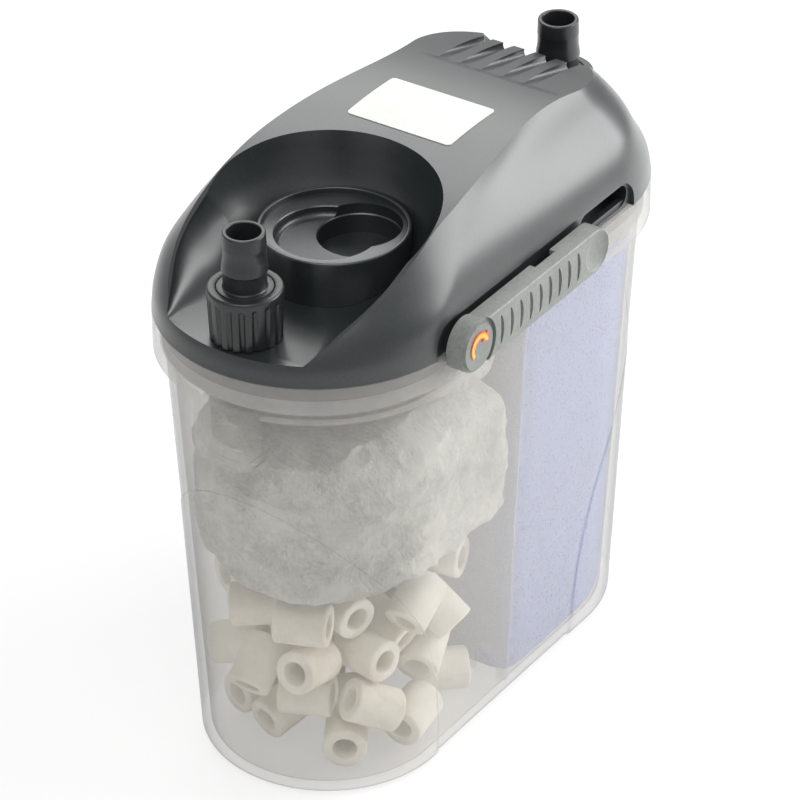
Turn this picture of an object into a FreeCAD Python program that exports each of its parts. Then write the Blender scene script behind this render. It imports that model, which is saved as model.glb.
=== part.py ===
"""A small canister filter: a clear media canister under a moulded pump head.

Frame: millimetres, +X to the right across the canister, +Y to the rear along it, +Z up, with
the origin at the centre of the footprint on the surface that the canister stands on. The inlet
nozzle is at the front (-Y), the outlet nozzle at the rear, and a latch lever on each long side.
"""
import FreeCAD, Part
import math
import os
import random

from FreeCAD import Vector

os.makedirs("parts", exist_ok=True)

# Canister: stadium outlines, given as the end radius and half the straight length
foot_radius = 41.6
foot_straight = 47.7
body_radius = 48.7
straight = 50.5
canister_wall = 2.2
canister_floor = 2.6
foot_round = 3.5
end_facets = 30
ledge_bottom = 151.5
ledge_thickness = 2.5
rim_radius = 52.5
rim_wall = 2.2
rim_top = 165.3

# Shields: the slightly proud ends of the canister, bounded by a curve on each long side
shield_proud = 0.9
shield_fade = 0.1
shield_front = 46.0
shield_rear = 36.0
shield_top = 125.0

# Pull tab under the rim, one at each end
tab_width = 24.0
tab_bottom = 131.0
tab_wall = 2.0
tab_corner = 6.0
tab_root = 9.0

# Divider between the two chambers
divider_thickness = 2.0
divider_top = 149.0
divider_gap = 0.3
flow_slot_width = 9.0
flow_slot_height = 9.0
flow_slots = 5

# Filter media
sponge_top = 148.0
media_gap = 0.5
ring_outer = 7.4
ring_bore = 4.0
ring_length = 18.0
ring_outer_sides = 16
ring_bore_sides = 12
ring_pile_top = 70.0
ring_count = 60
ring_tries = 50
ring_misses = 22
ring_step = 1.2
wadding_bottom = 71.0
wadding_top = 129.0
top_pad_gap = 0.3
top_pad_top = 151.0
top_pad_side_gap = 1.5
top_pad_width = 40.0
top_pad_length = 38.0

# Seal and floor of the head
gasket_inner = 46.4
gasket_width = 3.3
gasket_height = 5.2
skirt_gap = 0.3
skirt_radius = rim_radius - rim_wall - skirt_gap
skirt_wall = 2.0
floor_thickness = 3.6
fit_gap = 0.2

# Head shell outlines: height, front width, front centre, front reach, rear width, rear reach
head_levels = [
    (rim_top, rim_radius, straight, rim_radius, rim_radius, rim_radius),
    (172.5, 52.0, 50.5, 50.8, 51.9, 49.5),
    (180.0, 50.4, 50.5, 45.3, 50.0, 43.5),
    (188.0, 47.4, 42.0, 48.3, 46.1, 38.8),
    (196.0, 43.0, 35.0, 47.5, 39.2, 32.5),
    (202.0, 39.5, 28.0, 49.5, 32.2, 26.5),
    (209.0, 35.5, 20.0, 46.0, 27.0, 20.0),
]
head_wall = 2.8
head_facets = 9
# Crown line of the head in the middle plane, from the front corner of the deck to the rear
deck_height = 172.5
crown_line = [
    (-97.0, 172.5), (-92.0, 175.4), (-80.0, 183.4), (-68.0, 189.3), (-56.0, 194.7),
    (-44.0, 199.5), (-32.0, 202.3), (-14.0, 204.7), (4.0, 206.0), (28.0, 205.4),
    (52.0, 202.6), (74.0, 198.2), (92.0, 191.5), (108.0, 183.0),
]

# Bowl in the front of the head: turned about an upright axis, run out onto the deck
bowl_y = -51.5
bowl_profile = [(16.0, 172.6), (20.5, 173.7), (24.5, 175.6), (31.0, 180.6), (34.0, 184.4), (36.2, 188.5),
                (38.8, 196.0), (40.6, 205.0)]
bowl_flare = [
    (-51.5, 14.0, 31.0, 180.6, 38.9, 197.0),
    (-60.0, 14.5, 30.5, 178.6, 38.6, 192.4),
    (-69.0, 16.0, 29.5, 177.2, 37.7, 188.8),
    (-78.0, 21.0, 29.6, 176.2, 35.2, 184.4),
    (-87.0, 24.6, 28.6, 174.6, 30.9, 178.6),
    (-97.5, 25.6, 26.2, 172.9, 26.8, 173.6),
    (-110.0, 29.0, 29.6, 172.9, 30.2, 173.6),
]
bowl_lip = 0.7
ring_boss_y = -41.0
ring_boss_radius = 24.5
ring_boss_top = 188.3
ring_boss_wall = 1.5
ring_boss_gap = 0.1
ring_boss_foot = 171.0
ring_ledge_depth = 1.8
dish_x = -1.0
dish_y = -44.0
dish_radius = 16.5
dish_depth = 3.6
well_x = 5.3
well_y = -34.5
well_radius = 13.4
well_bottom = 176.0

# Cooling grooves and the notch behind them
groove_count = 5
groove_pitch = 8.25
groove_radius = 2.2
groove_start = 42.5
groove_depth = 3.0
notch_front = 73.0
notch_half_width = 21.0
notch_corner = 6.0
notch_floor = 165.9

# Rating label, left bare
label_width = 39.5
label_length = 27.0
label_y = 8.4
label_thickness = 0.25

# Hose nozzles: nut top heights, the rest is shared
inlet_y = -89.0
outlet_y = 90.5
inlet_nut_top = 190.3
outlet_nut_top = 183.5
nut_height = 17.4
nut_radius_top = 12.1
nut_radius_bottom = 11.4
nut_flutes = 18
nut_flute_depth = 0.8
nut_band = 2.4
stub_radius = 10.0
stub_bore = 6.0
thread_gap = 0.06
flange_height = 2.2
seal_height = 1.4
collar_radius = 9.15
collar_height = 1.4
barb_bore = 5.35
barb_height = 19.3
barb_root_radius = 6.9
barb_shoulder_radius = 7.4
barb_tip_radius = 6.8
barb_land = 6.0

# Latch levers
pivot_y = -48.5
pivot_z = 167.2
lever_disc_radius = 8.8
lever_half_height = 7.8
lever_tail_y = 28.0
lever_gap = 0.5
lever_inner_x = rim_radius + lever_gap
lever_depth = 6.5
lever_outer_x = lever_inner_x + lever_depth
lever_wall = 1.6
lever_face = 2.1
pin_radius = 1.6
pin_running_gap = 0.05
pin_grip = 6.0
pin_inner_x = rim_radius - pin_grip
pin_outer_x = 57.0
hub_radius = 4.2
grip_count = 9
grip_first_y = -36.0
grip_pitch = 5.6
grip_height = 10.5
grip_depth = 0.8
grip_width = 1.7
dimple_y = 20.0
dimple_length = 14.0
dimple_height = 9.5
dimple_depth = 1.0
arrow_radius = 5.0
arrow_width = 2.2
arrow_thickness = 0.4
lug_radius = 1.7
lug_reach = 35.0
lug_z = 163.0
lug_proud = 2.3
lug_outer_x = rim_radius + lug_proud
lug_gap = 0.3
lug_exit = (39.0, 50.5)

# Pocket of the lever in each cheek, and the finger recess behind its tail
pocket_sink = 1.9
pocket_floor_x = rim_radius - pocket_sink
pocket_front = -60.0
pocket_rear = 55.0
pocket_bottom = 160.0
pocket_top = 176.0
pocket_round = 7.9
recess_front = 24.0
recess_rear = 52.5
recess_bottom = 166.6
recess_top = 174.6
recess_round = 3.9
recess_sink = 7.6
recess_floor_x = pocket_floor_x - recess_sink

# Pump: axis upright over the rear chamber
pump_y = 28.0
chamber_radius = 15.0
chamber_wall = 2.0
chamber_bottom = 151.8
chamber_top = 164.2
cover_thickness = 2.4
can_radius = 9.2
can_wall = 1.3
can_top = 194.5
shaft_radius = 1.5
rotor_running_gap = 0.05
magnet_radius = 8.4
magnet_bottom = 167.2
magnet_top = 190.8
impeller_radius = 12.5
impeller_blades = 6
impeller_hub = 4.0
blade_thickness = 1.4
blade_height = 6.5
bush_radius = 3.2
bush_height = 1.8
intake_slots = 8
intake_slot_radius = 2.2
intake_ring_radius = 8.5
duct_width = 13.0
duct_height = 6.4
duct_wall = 1.3
riser_gap = 0.1
inlet_duct_bottom = 151.0
duct_flange_height = 2.0
duct_flange_extra = 1.2
core_bottom = 172.0
core_height = 16.0
core_leg = 9.0
core_overlap = 2.2
core_front = -5.0
core_rear = 40.0
coil_build = 4.4
coil_length = 11.0
coil_gap = 0.5
coil_corner = 3.0

# Motor space in the solid upper part of the head, and the cable's way to its gland
motor_half_width = 26.0
motor_front = -7.5
motor_rear = 46.0
motor_top = 196.6
motor_corner = 4.0

# Screws that hold the head's floor, with their posts
screw_radius = 1.6
screw_head_radius = 3.0
screw_head_height = 1.8
screw_length = 12.0
post_radius = 4.0
post_places = [(39.0, -24.0), (36.0, 62.0), (-39.0, 24.0), (-36.0, -62.0)]

# Cable gland in the front wall of the rear notch
gland_x = -9.5
gland_z = 180.0
gland_neck = 3.6
gland_flange = 4.8
gland_bore = 2.9
gland_flange_length = 3.0
gland_inner_length = 1.6


def lerp(start, end, share):
    """Value at a share of the way from start to end."""
    return start + (end - start) * share


def body_outline(z):
    """End radius and half straight length of the canister's outside at height z."""
    share = z / ledge_bottom
    return lerp(foot_radius, body_radius, share), lerp(foot_straight, straight, share)


def stadium(radius, half_straight, z):
    """Closed wire of two straight sides and two half circles."""
    front_right = Vector(radius, -half_straight, z)
    rear_right = Vector(radius, half_straight, z)
    rear_left = Vector(-radius, half_straight, z)
    front_left = Vector(-radius, -half_straight, z)
    rear = Vector(0, half_straight + radius, z)
    front = Vector(0, -half_straight - radius, z)
    return Part.Wire([
        Part.makeLine(front_right, rear_right),
        Part.Arc(rear_right, rear, rear_left).toShape(),
        Part.makeLine(rear_left, front_left),
        Part.Arc(front_left, front, front_right).toShape(),
    ])


def end_points(radius, y, start, z):
    """Points on a half circle about (0, y), in straight facets, from a start angle in degrees."""
    points = []
    for index in range(end_facets + 1):
        turn = math.radians(start + 180 * index / end_facets)
        points.append(Vector(radius * math.cos(turn), y + radius * math.sin(turn), z))
    return points


def faceted_stadium(radius, half_straight, z):
    """Stadium wire whose ends are straight facets, so that a taper between two stays flat-faced."""
    return polygon(end_points(radius, half_straight, 0, z) + end_points(radius, -half_straight, 180, z))


def stadium_block(radius, half_straight, z_low, z_high):
    """Straight block of stadium section."""
    face = Part.Face(stadium(radius, half_straight, z_low))
    return face.extrude(Vector(0, 0, z_high - z_low))


def stadium_ring(outer, inner, half_straight, z_low, z_high):
    """Stadium block with a stadium hole."""
    block = stadium_block(outer, half_straight, z_low, z_high)
    return block.cut(stadium_block(inner, half_straight, z_low - 1, z_high + 1))


def cylinder(radius, low, high, x=0.0, y=0.0):
    """Upright cylinder from height low to height high."""
    return Part.makeCylinder(radius, high - low, Vector(x, y, low), Vector(0, 0, 1))


def x_cylinder(radius, x_low, x_high, y, z):
    """Cylinder along X."""
    return Part.makeCylinder(radius, x_high - x_low, Vector(x_low, y, z), Vector(1, 0, 0))


def box(x_low, x_high, y_low, y_high, z_low, z_high):
    """Box between two values on each axis."""
    size = (x_high - x_low, y_high - y_low, z_high - z_low)
    return Part.makeBox(*size, Vector(x_low, y_low, z_low))


def polygon(points):
    """Closed wire through points."""
    return Part.makePolygon(points + [points[0]])


def opposite(shape):
    """The shape after half a turn about the upright axis, on the other side and other way round."""
    return shape.rotated(Vector(0, 0, 0), Vector(0, 0, 1), 180)


def turned(points, y):
    """Solid of revolution about the upright axis at y, from (radius, z) points."""
    outline = polygon([Vector(radius, y, z) for radius, z in points])
    return Part.Face(outline).revolve(Vector(0, y, 0), Vector(0, 0, 1), 360)


def slab(outline, x_low, x_high):
    """Block cut along X, from a closed wire drawn at x = 0."""
    face = Part.Face(outline)
    face.translate(Vector(x_low, 0, 0))
    return face.extrude(Vector(x_high - x_low, 0, 0))


# Canister


def footed_block(extra_low, extra_high, top):
    """Tapering block on a rounded foot, grown by an amount that changes from foot to top."""
    wires = []
    for turn in (0, 30, 60, 90):
        z = foot_round * (1 - math.cos(math.radians(turn)))
        inset = foot_round * (1 - math.sin(math.radians(turn)))
        radius, half_straight = body_outline(z)
        wires.append(faceted_stadium(radius + extra_low - inset, half_straight, z))
    radius, half_straight = body_outline(min(top, ledge_bottom))
    wires.append(faceted_stadium(radius + extra_high, half_straight, top))
    return Part.makeLoft(wires, True, True)


def shield_area(side, edge_y):
    """Block that covers one end of the canister up to the curve on its long sides."""
    curve_points = [
        Vector(0, side * edge_y, -1),
        Vector(0, side * (edge_y + 0.6), 16),
        Vector(0, side * (edge_y + 4.5), 39),
        Vector(0, side * (edge_y + 13), 62),
        Vector(0, side * (edge_y + 23), 78),
        Vector(0, side * (edge_y + 35), 94),
        Vector(0, side * (edge_y + 58), shield_top),
    ]
    curve = Part.BSplineCurve()
    curve.interpolate(curve_points)
    far_top = Vector(0, side * 120, shield_top)
    far_low = Vector(0, side * 120, -1)
    outline = Part.Wire([
        curve.toShape(),
        Part.makeLine(curve_points[-1], far_top),
        Part.makeLine(far_top, far_low),
        Part.makeLine(far_low, curve_points[0]),
    ])
    return slab(outline, -60, 60)


def canister_shields():
    """Proud skins on the two ends, fading out upwards."""
    skin = footed_block(shield_proud, shield_fade, shield_top)
    front = skin.common(shield_area(-1, shield_front))
    rear = skin.common(shield_area(1, shield_rear))
    return front, rear


def pull_tab(side, inset):
    """Round-cornered tongue under the rim at one end, drawn in by inset."""
    half = tab_width / 2 - inset
    low = tab_bottom + inset
    corner = tab_corner - inset
    y = side * (straight + body_radius - tab_root)
    tongue = box(-half, half, min(y, side * 110), max(y, side * 110), low, ledge_bottom + 1)
    edges = [edge for edge in tongue.Edges
             if abs(edge.BoundBox.ZMax - low) < 0.01 and edge.BoundBox.YLength > 1]
    tongue = tongue.makeFillet(corner, edges)
    limit = stadium_block(rim_radius - inset, straight, tab_bottom - 5, ledge_bottom + 5)
    return tongue.common(limit)


def make_canister():
    """Clear canister with floor, rim, pull tabs and the lugs that the levers hold."""
    shell = footed_block(0, 0, ledge_bottom + ledge_thickness)
    for shield in canister_shields():
        shell = shell.fuse(shield)
    rim = stadium_block(rim_radius, straight, ledge_bottom, rim_top)
    solid = shell.fuse(rim)
    for side in (-1, 1):
        solid = solid.fuse(pull_tab(side, 0))
    low_radius, low_straight = body_outline(canister_floor)
    cavity = Part.makeLoft([
        faceted_stadium(low_radius - canister_wall, low_straight, canister_floor),
        faceted_stadium(body_radius - canister_wall, straight, ledge_bottom + ledge_thickness),
    ], True, True)
    solid = solid.cut(cavity)
    seat = stadium_block(rim_radius - rim_wall, straight, ledge_bottom + ledge_thickness, rim_top + 1)
    solid = solid.cut(seat)
    for side in (-1, 1):
        solid = solid.cut(pull_tab(side, tab_wall))
    lug = x_cylinder(lug_radius, rim_radius - rim_wall / 2, lug_outer_x, pivot_y + lug_reach, lug_z)
    return solid.fuse([lug, opposite(lug)])


def chamber_outline(side, z, inset):
    """Closed wire of one chamber at height z: straight along the divider, round at the end."""
    radius, half_straight = body_outline(z)
    radius = radius - canister_wall - inset
    near = divider_thickness / 2 + inset
    points = [Vector(radius, near, z)] + end_points(radius, half_straight, 0, z) + [Vector(-radius, near, z)]
    return polygon([Vector(point.x, side * point.y, z) for point in points])


def make_divider():
    """Upright plate between the chambers, with flow slots at its foot."""
    low_radius = body_outline(canister_floor)[0] - canister_wall - divider_gap
    high_radius = body_outline(divider_top)[0] - canister_wall - divider_gap
    half = divider_thickness / 2
    outline = polygon([
        Vector(-low_radius, -half, canister_floor),
        Vector(low_radius, -half, canister_floor),
        Vector(high_radius, -half, divider_top),
        Vector(-high_radius, -half, divider_top),
    ])
    plate = Part.Face(outline).extrude(Vector(0, divider_thickness, 0))
    pitch = 2 * low_radius / flow_slots
    for index in range(flow_slots):
        x = (index - (flow_slots - 1) / 2) * pitch
        half_slot = flow_slot_width / 2
        plate = plate.cut(box(x - half_slot, x + half_slot, -half - 1, half + 1,
                              canister_floor - 1, canister_floor + flow_slot_height))
    return plate


# Filter media


def make_sponge():
    """Foam block that fills the rear chamber."""
    low = canister_floor + 0.1
    levels = [(low, media_gap + 1.2), (low + 4, media_gap), (sponge_top - 5, media_gap),
              (sponge_top, media_gap + 2.5)]
    return Part.makeLoft([chamber_outline(1, z, inset) for z, inset in levels], True, True)


def make_wadding():
    """Fleece pad above the rings: drawn-in edges and a crowned top."""
    height = wadding_top - wadding_bottom
    levels = [(0.0, 7.0), (0.08, 2.5), (0.25, media_gap + 0.6), (0.5, media_gap + 0.4),
              (0.75, media_gap + 1.2), (0.9, 5.0), (1.0, 13.0)]
    wires = [chamber_outline(-1, wadding_bottom + share * height, inset) for share, inset in levels]
    return Part.makeLoft(wires, True, True)


def make_top_pad():
    """Small rounded pad lying on the wadding, to the right of the inlet."""
    bottom = wadding_top + top_pad_gap
    middle_z = (bottom + top_pad_top) / 2
    half_height = (top_pad_top - bottom) / 2
    x_centre = body_outline(middle_z)[0] - canister_wall - media_gap - top_pad_side_gap - top_pad_width / 2
    y_centre = -divider_thickness / 2 - media_gap - top_pad_gap - top_pad_length / 2
    wires = []
    for angle in (-80, -50, -20, 20, 50, 80):
        share = math.cos(math.radians(angle)) ** 0.6
        z = middle_z + half_height * math.sin(math.radians(angle)) / math.sin(math.radians(80))
        half_x = top_pad_width / 2 * share
        half_y = top_pad_length / 2 * share
        outline = round_corners(-half_x, half_x, -half_y, half_y, min(half_x, half_y) * 0.75)
        wires.append(polygon([Vector(x_centre + x, y_centre + y, z) for x, y in outline]))
    return Part.makeLoft(wires, True, True)


def round_corners(low_x, high_x, low_y, high_y, radius):
    """Points of a rectangle whose corners are quarter circles in three facets."""
    points = []
    corners = [(high_x, high_y, 0), (low_x, high_y, 90), (low_x, low_y, 180), (high_x, low_y, 270)]
    for x, y, start in corners:
        centre_x = x - math.copysign(radius, x)
        centre_y = y - math.copysign(radius, y)
        for turn in (0, 30, 60, 90):
            angle = math.radians(start + turn)
            points.append((centre_x + radius * math.cos(angle), centre_y + radius * math.sin(angle)))
    return points


def rounded_rectangle(low_x, high_x, low_y, high_y, radius):
    """Closed wire of a rectangle with round corners, drawn at z = 0."""
    corners = [(high_x, low_y, 270), (high_x, high_y, 0), (low_x, high_y, 90), (low_x, low_y, 180)]
    edges = []
    arcs = []
    for x, y, start in corners:
        centre_x = x - math.copysign(radius, x - (low_x + high_x) / 2)
        centre_y = y - math.copysign(radius, y - (low_y + high_y) / 2)
        arcs.append([Vector(centre_x + radius * math.cos(math.radians(start + turn)),
                            centre_y + radius * math.sin(math.radians(start + turn)), 0)
                     for turn in (0, 45, 90)])
    for arc, following in zip(arcs, arcs[1:] + arcs[:1]):
        edges.append(Part.Arc(*arc).toShape())
        edges.append(Part.makeLine(arc[2], following[0]))
    return Part.Wire(edges)


def spread_directions(count):
    """Directions spread evenly over half a sphere."""
    directions = []
    for index in range(count):
        z = (index + 0.5) / count
        turn = index * math.pi * (3 - math.sqrt(5))
        flat = math.sqrt(1 - z * z)
        directions.append((flat * math.cos(turn), flat * math.sin(turn), z))
    return directions


def ring_reach(axis, direction):
    """Half the extent of a ceramic ring along a direction."""
    along = abs(axis[0] * direction[0] + axis[1] * direction[1] + axis[2] * direction[2])
    return ring_length / 2 * along + ring_outer * math.sqrt(max(0.0, 1 - along * along))


def in_front_chamber(centre, axis):
    """Whether a ring's two end circles lie inside the front chamber."""
    axis_vector = Vector(*axis)
    side = axis_vector.cross(Vector(0.31, 0.52, 0.79)).normalize()
    other = axis_vector.cross(side)
    for end in (-1, 1):
        for step in range(10):
            turn = math.radians(36 * step)
            point = (Vector(*centre) + axis_vector * (end * ring_length / 2)
                     + side * (ring_outer * math.cos(turn)) + other * (ring_outer * math.sin(turn)))
            radius, half_straight = body_outline(max(point.z, 0))
            radius -= canister_wall + media_gap
            if point.z < canister_floor + 0.1:
                return False
            if point.y > -divider_thickness / 2 - media_gap:
                return False
            if math.hypot(point.x, min(0.0, point.y + half_straight)) > radius:
                return False
    return True


def place_rings():
    """Pile rings in the front chamber: each goes to the lowest free place of a few tries."""
    source = random.Random(11)
    directions = spread_directions(90)
    pile = []
    reach = 2 * math.hypot(ring_length / 2, ring_outer)

    def is_free(centre, reaches):
        for other_centre, _, other_reaches in pile:
            gap = [centre[k] - other_centre[k] for k in range(3)]
            if gap[0] ** 2 + gap[1] ** 2 + gap[2] ** 2 > reach * reach:
                continue
            for direction, mine, theirs in zip(directions, reaches, other_reaches):
                across = abs(gap[0] * direction[0] + gap[1] * direction[1] + gap[2] * direction[2])
                if across > mine + theirs + 0.05:
                    break
            else:
                return False
        return True

    misses = 0
    while len(pile) < ring_count and misses < ring_misses:
        best = None
        for _ in range(ring_tries):
            turn = source.uniform(0, math.pi)
            lift = source.uniform(-0.9, 0.9) * source.random()
            axis = (math.cos(turn) * math.cos(lift), math.sin(turn) * math.cos(lift), math.sin(lift))
            reaches = [ring_reach(axis, direction) for direction in directions]
            upright = ring_reach(axis, (0, 0, 1))
            x = source.uniform(-1, 1) * (foot_radius - canister_wall)
            y = -source.uniform(0, foot_straight + foot_radius)
            z = canister_floor + 0.15 + upright
            ceiling = ring_pile_top - upright if best is None else best[0][2]
            while z < ceiling:
                if in_front_chamber((x, y, z), axis) and is_free((x, y, z), reaches):
                    lower = z - ring_step / 4
                    while (lower > canister_floor + 0.15 + upright
                           and in_front_chamber((x, y, lower), axis) and is_free((x, y, lower), reaches)):
                        z = lower
                        lower = z - ring_step / 4
                    best = ((x, y, z), axis, reaches)
                    break
                z += ring_step
        if best is None:
            misses += 1
        else:
            pile.append(best)
    return [(centre, axis) for centre, axis, _ in pile]


def make_rings():
    """Group of ceramic rings, each a tube with faceted walls."""
    outline = regular_outline(ring_outer, ring_outer_sides)
    bore = regular_outline(ring_bore, ring_bore_sides)
    tube = Part.Face([outline, bore]).extrude(Vector(0, 0, ring_length))
    tube.translate(Vector(0, 0, -ring_length / 2))
    rings = []
    for centre, axis in place_rings():
        turn = FreeCAD.Rotation(Vector(0, 0, 1), Vector(*axis))
        ring = tube.copy()
        ring.Placement = FreeCAD.Placement(Vector(*centre), turn).multiply(tube.Placement)
        rings.append(ring)
    return Part.makeCompound(rings)


def regular_outline(radius, sides):
    """Closed wire of equal sides round the origin."""
    points = []
    for index in range(sides):
        turn = 2 * math.pi * index / sides
        points.append(Vector(radius * math.cos(turn), radius * math.sin(turn), 0))
    return polygon(points)


# Head shell


def head_outline(level):
    """Closed wire of the head at one level, in facets short enough to look round."""
    z, front_width, front_centre, front_reach, rear_width, rear_reach = level
    right = []
    for index in range(head_facets):
        turn = math.radians(90 * index / head_facets)
        right.append((front_width * math.sin(turn), -front_centre - front_reach * math.cos(turn)))
    for share in (0.0, 0.35, 0.7):
        right.append((lerp(front_width, rear_width, share), lerp(-front_centre, straight, share)))
    for index in range(head_facets + 1):
        turn = math.radians(90 * index / head_facets)
        right.append((rear_width * math.cos(turn), straight + rear_reach * math.sin(turn)))
    left = [(-x, y) for x, y in reversed(right[1:-1])]
    return polygon([Vector(x, y, z) for x, y in right + left])


def crown_block(drop):
    """Everything under the crown line lowered by drop."""
    points = [Vector(0, y, z - drop) for y, z in crown_line]
    curve = Part.BSplineCurve()
    curve.interpolate(points)
    front_top = Vector(0, -120, deck_height - drop)
    front_low = Vector(0, -120, 150)
    rear_low = Vector(0, crown_line[-1][0], 150)
    outline = Part.Wire([
        Part.makeLine(front_low, front_top),
        Part.makeLine(front_top, points[0]),
        curve.toShape(),
        Part.makeLine(points[-1], rear_low),
        Part.makeLine(rear_low, front_low),
    ])
    return slab(outline, -70, 70)


def flare_section(y, deck_half, middle_x, middle_z, edge_x, edge_z):
    """Closed wire across the bowl at one y: floor, concave walls, and open above."""
    edge = edge_x - bowl_lip
    right = [(deck_half, deck_height), (middle_x, middle_z), (edge, edge_z), (edge, 230)]
    left = [(-x, z) for x, z in reversed(right)]
    return polygon([Vector(x, y, z) for x, z in right + left])


def bowl_flare_tool():
    """Front part of the bowl, run out over the deck."""
    return Part.makeLoft([flare_section(*row) for row in bowl_flare], True, True)


def bowl_turned_tool():
    """Round part of the bowl, turned about its upright axis."""
    foot = (bowl_profile[0][0], deck_height)
    top = (bowl_profile[-1][0] + 0.3, 230)
    return turned([(0, deck_height), foot] + bowl_profile + [top, (0, 230)], bowl_y)


def notch_tool():
    """Rear notch round the outlet nozzle, open upwards and to the rear."""
    tool = box(-notch_half_width, notch_half_width, notch_front, 115, notch_floor, 215)
    edges = [edge for edge in tool.Edges
             if abs(edge.BoundBox.YMax - notch_front) < 0.01 and edge.BoundBox.ZLength > 20]
    return tool.makeFillet(notch_corner, edges)


def slot_outline(front, rear, low, high, radius):
    """Closed wire of a slot with round corners, drawn at x = 0."""
    radius = min(radius, (high - low) / 2 - 0.01)
    wire = rounded_rectangle(front, rear, low, high, radius)
    turn = FreeCAD.Rotation(Vector(1, 1, 1), 120)
    return wire.transformed(FreeCAD.Placement(Vector(0, 0, 0), turn).toMatrix())


def pocket_tools():
    """Lever pocket and finger recess of the right cheek."""
    pocket = slab(slot_outline(pocket_front, pocket_rear, pocket_bottom, pocket_top, pocket_round),
                  pocket_floor_x, 70)
    recess = slab(slot_outline(recess_front, recess_rear, recess_bottom, recess_top, recess_round),
                  recess_floor_x, 70)
    return [pocket, recess]


def groove_tools():
    """Tapering cooling grooves, pointed at the front and open into the notch."""
    crown = dict(crown_line)
    start_z = lerp(crown[28.0], crown[52.0], (groove_start - 28.0) / 24.0) + groove_radius + 0.2
    end_z = crown[74.0] + groove_radius - groove_depth
    run = Vector(0, 74.0 - groove_start, end_z - start_z)
    tools = []
    for index in range(groove_count):
        x = (index - (groove_count - 1) / 2) * groove_pitch
        start = Vector(x, groove_start, start_z) - run * 0.1
        tools.append(Part.makeCylinder(groove_radius, run.Length * 1.4, start, run))
    return tools


def make_bowl_ring():
    """Round boss in the bowl: an upright drum with a ledge, a dish and an eccentric well."""
    drum = cylinder(ring_boss_radius, ring_boss_foot, ring_boss_top, 0, ring_boss_y)
    ledge = ring_boss_top - ring_ledge_depth
    inner = ring_boss_radius - ring_boss_wall
    return drum.cut([
        cylinder(inner, ledge, ring_boss_top + 1, 0, ring_boss_y),
        cylinder(dish_radius, ledge - dish_depth, ledge + 1, dish_x, dish_y),
        cylinder(well_radius, well_bottom, ledge + 1, well_x, well_y),
    ])


def nozzle_stub(y, nut_top):
    """Threaded stub that carries a nozzle, from the deck to under the seal."""
    top = nut_top - collar_height - flange_height - seal_height
    return cylinder(stub_radius, rim_top, top, 0, y), cylinder(stub_bore, floor_top() - 2, top + 1, 0, y)


def make_head_shell():
    """Moulded head: crowned hood with bowl, socket, grooves, pockets, notch, stubs and skirt."""
    hood = Part.makeLoft([head_outline(level) for level in head_levels], True, True)
    socket = cylinder(ring_boss_radius + ring_boss_gap, ring_boss_foot, 230, 0, ring_boss_y)
    hood = hood.common(crown_block(0)).cut(hollow_tools() + groove_tools() + [socket])
    stubs = [nozzle_stub(inlet_y, inlet_nut_top), nozzle_stub(outlet_y, outlet_nut_top)]
    added = [head_skirt(), rear_shelf()] + [outer for outer, _ in stubs]
    added += [cylinder(post_radius, floor_top(), rim_top + 1, x, y) for x, y in post_places]
    pin_hole = x_cylinder(pin_radius, pin_inner_x, 70, pivot_y, pivot_z)
    holes = [screw_shank(x, y) for x, y in post_places] + [bore for _, bore in stubs]
    holes += [pin_hole, opposite(pin_hole), gland_part(gland_neck, motor_rear - notch_front - 1, 20)]
    return hood.fuse(added).cut(holes + motor_space())


def motor_space():
    """Room for the motor over the pump, and for the cable behind its gland."""
    block = box(-motor_half_width, motor_half_width, motor_front, motor_rear, rim_top - 1, motor_top)
    block = block.makeFillet(motor_corner, [edge for edge in block.Edges if edge.BoundBox.ZLength > 20])
    channel = gland_part(gland_flange + fit_gap, motor_rear - notch_front - 1, -head_wall)
    return [block, channel]


def hollow_tools():
    """Bowl, rear notch and the two lever pockets with their recesses."""
    pockets = pocket_tools()
    bowl = [bowl_turned_tool(), bowl_flare_tool()]
    return bowl + [notch_tool()] + pockets + [opposite(pocket) for pocket in pockets]


def head_skirt():
    """Lower wall of the head, inside the canister's rim."""
    inner = skirt_radius - skirt_wall
    skirt = stadium_ring(skirt_radius, inner, straight, skirt_bottom(), rim_top + 3)
    return skirt.cut(notch_tool())


def rear_shelf():
    """Shelf under the outlet nozzle, down to the head's floor."""
    half = notch_half_width + head_wall
    shelf = stadium_block(skirt_radius - skirt_wall / 2, straight, floor_top() + fit_gap, notch_floor)
    return shelf.common(box(-half, half, notch_front - head_wall, 120, 150, 200))


def skirt_bottom():
    """Height of the skirt's lower edge, on the gasket."""
    return ledge_bottom + ledge_thickness + gasket_height


def floor_top():
    """Height of the upper face of the head's floor."""
    return skirt_bottom() + floor_thickness


def screw_shank(x, y):
    """Shank of a floor screw, from under the floor into its post."""
    return cylinder(screw_radius, skirt_bottom(), skirt_bottom() + screw_length, x, y)


def gland_part(radius, y_low, y_high):
    """Cylinder on the gland's axis, with lengths from the notch's front wall."""
    return Part.makeCylinder(radius, y_high - y_low, Vector(gland_x, notch_front + y_low, gland_z),
                             Vector(0, 1, 0))


# Head floor, seal and label


def make_head_floor():
    """Plate that closes the head, with holes for the pump, the ducts and the screws."""
    low = skirt_bottom()
    plate = stadium_block(skirt_radius - skirt_wall - fit_gap, straight, low, floor_top())
    plate = plate.cut(cylinder(chamber_radius + chamber_wall + fit_gap, low - 1, floor_top() + 1, 0, pump_y))
    for y in (inlet_y, outlet_y):
        plate = plate.cut(cylinder(stub_bore, low - 1, floor_top() + 1, 0, y))
    for x, y in post_places:
        plate = plate.cut(screw_shank(x, y))
    return plate


def make_gasket():
    """Stadium ring of silicone between the canister's ledge and the head."""
    low = ledge_bottom + ledge_thickness
    ring = stadium_ring(gasket_inner + gasket_width, gasket_inner, straight, low, skirt_bottom())
    return ring


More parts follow.
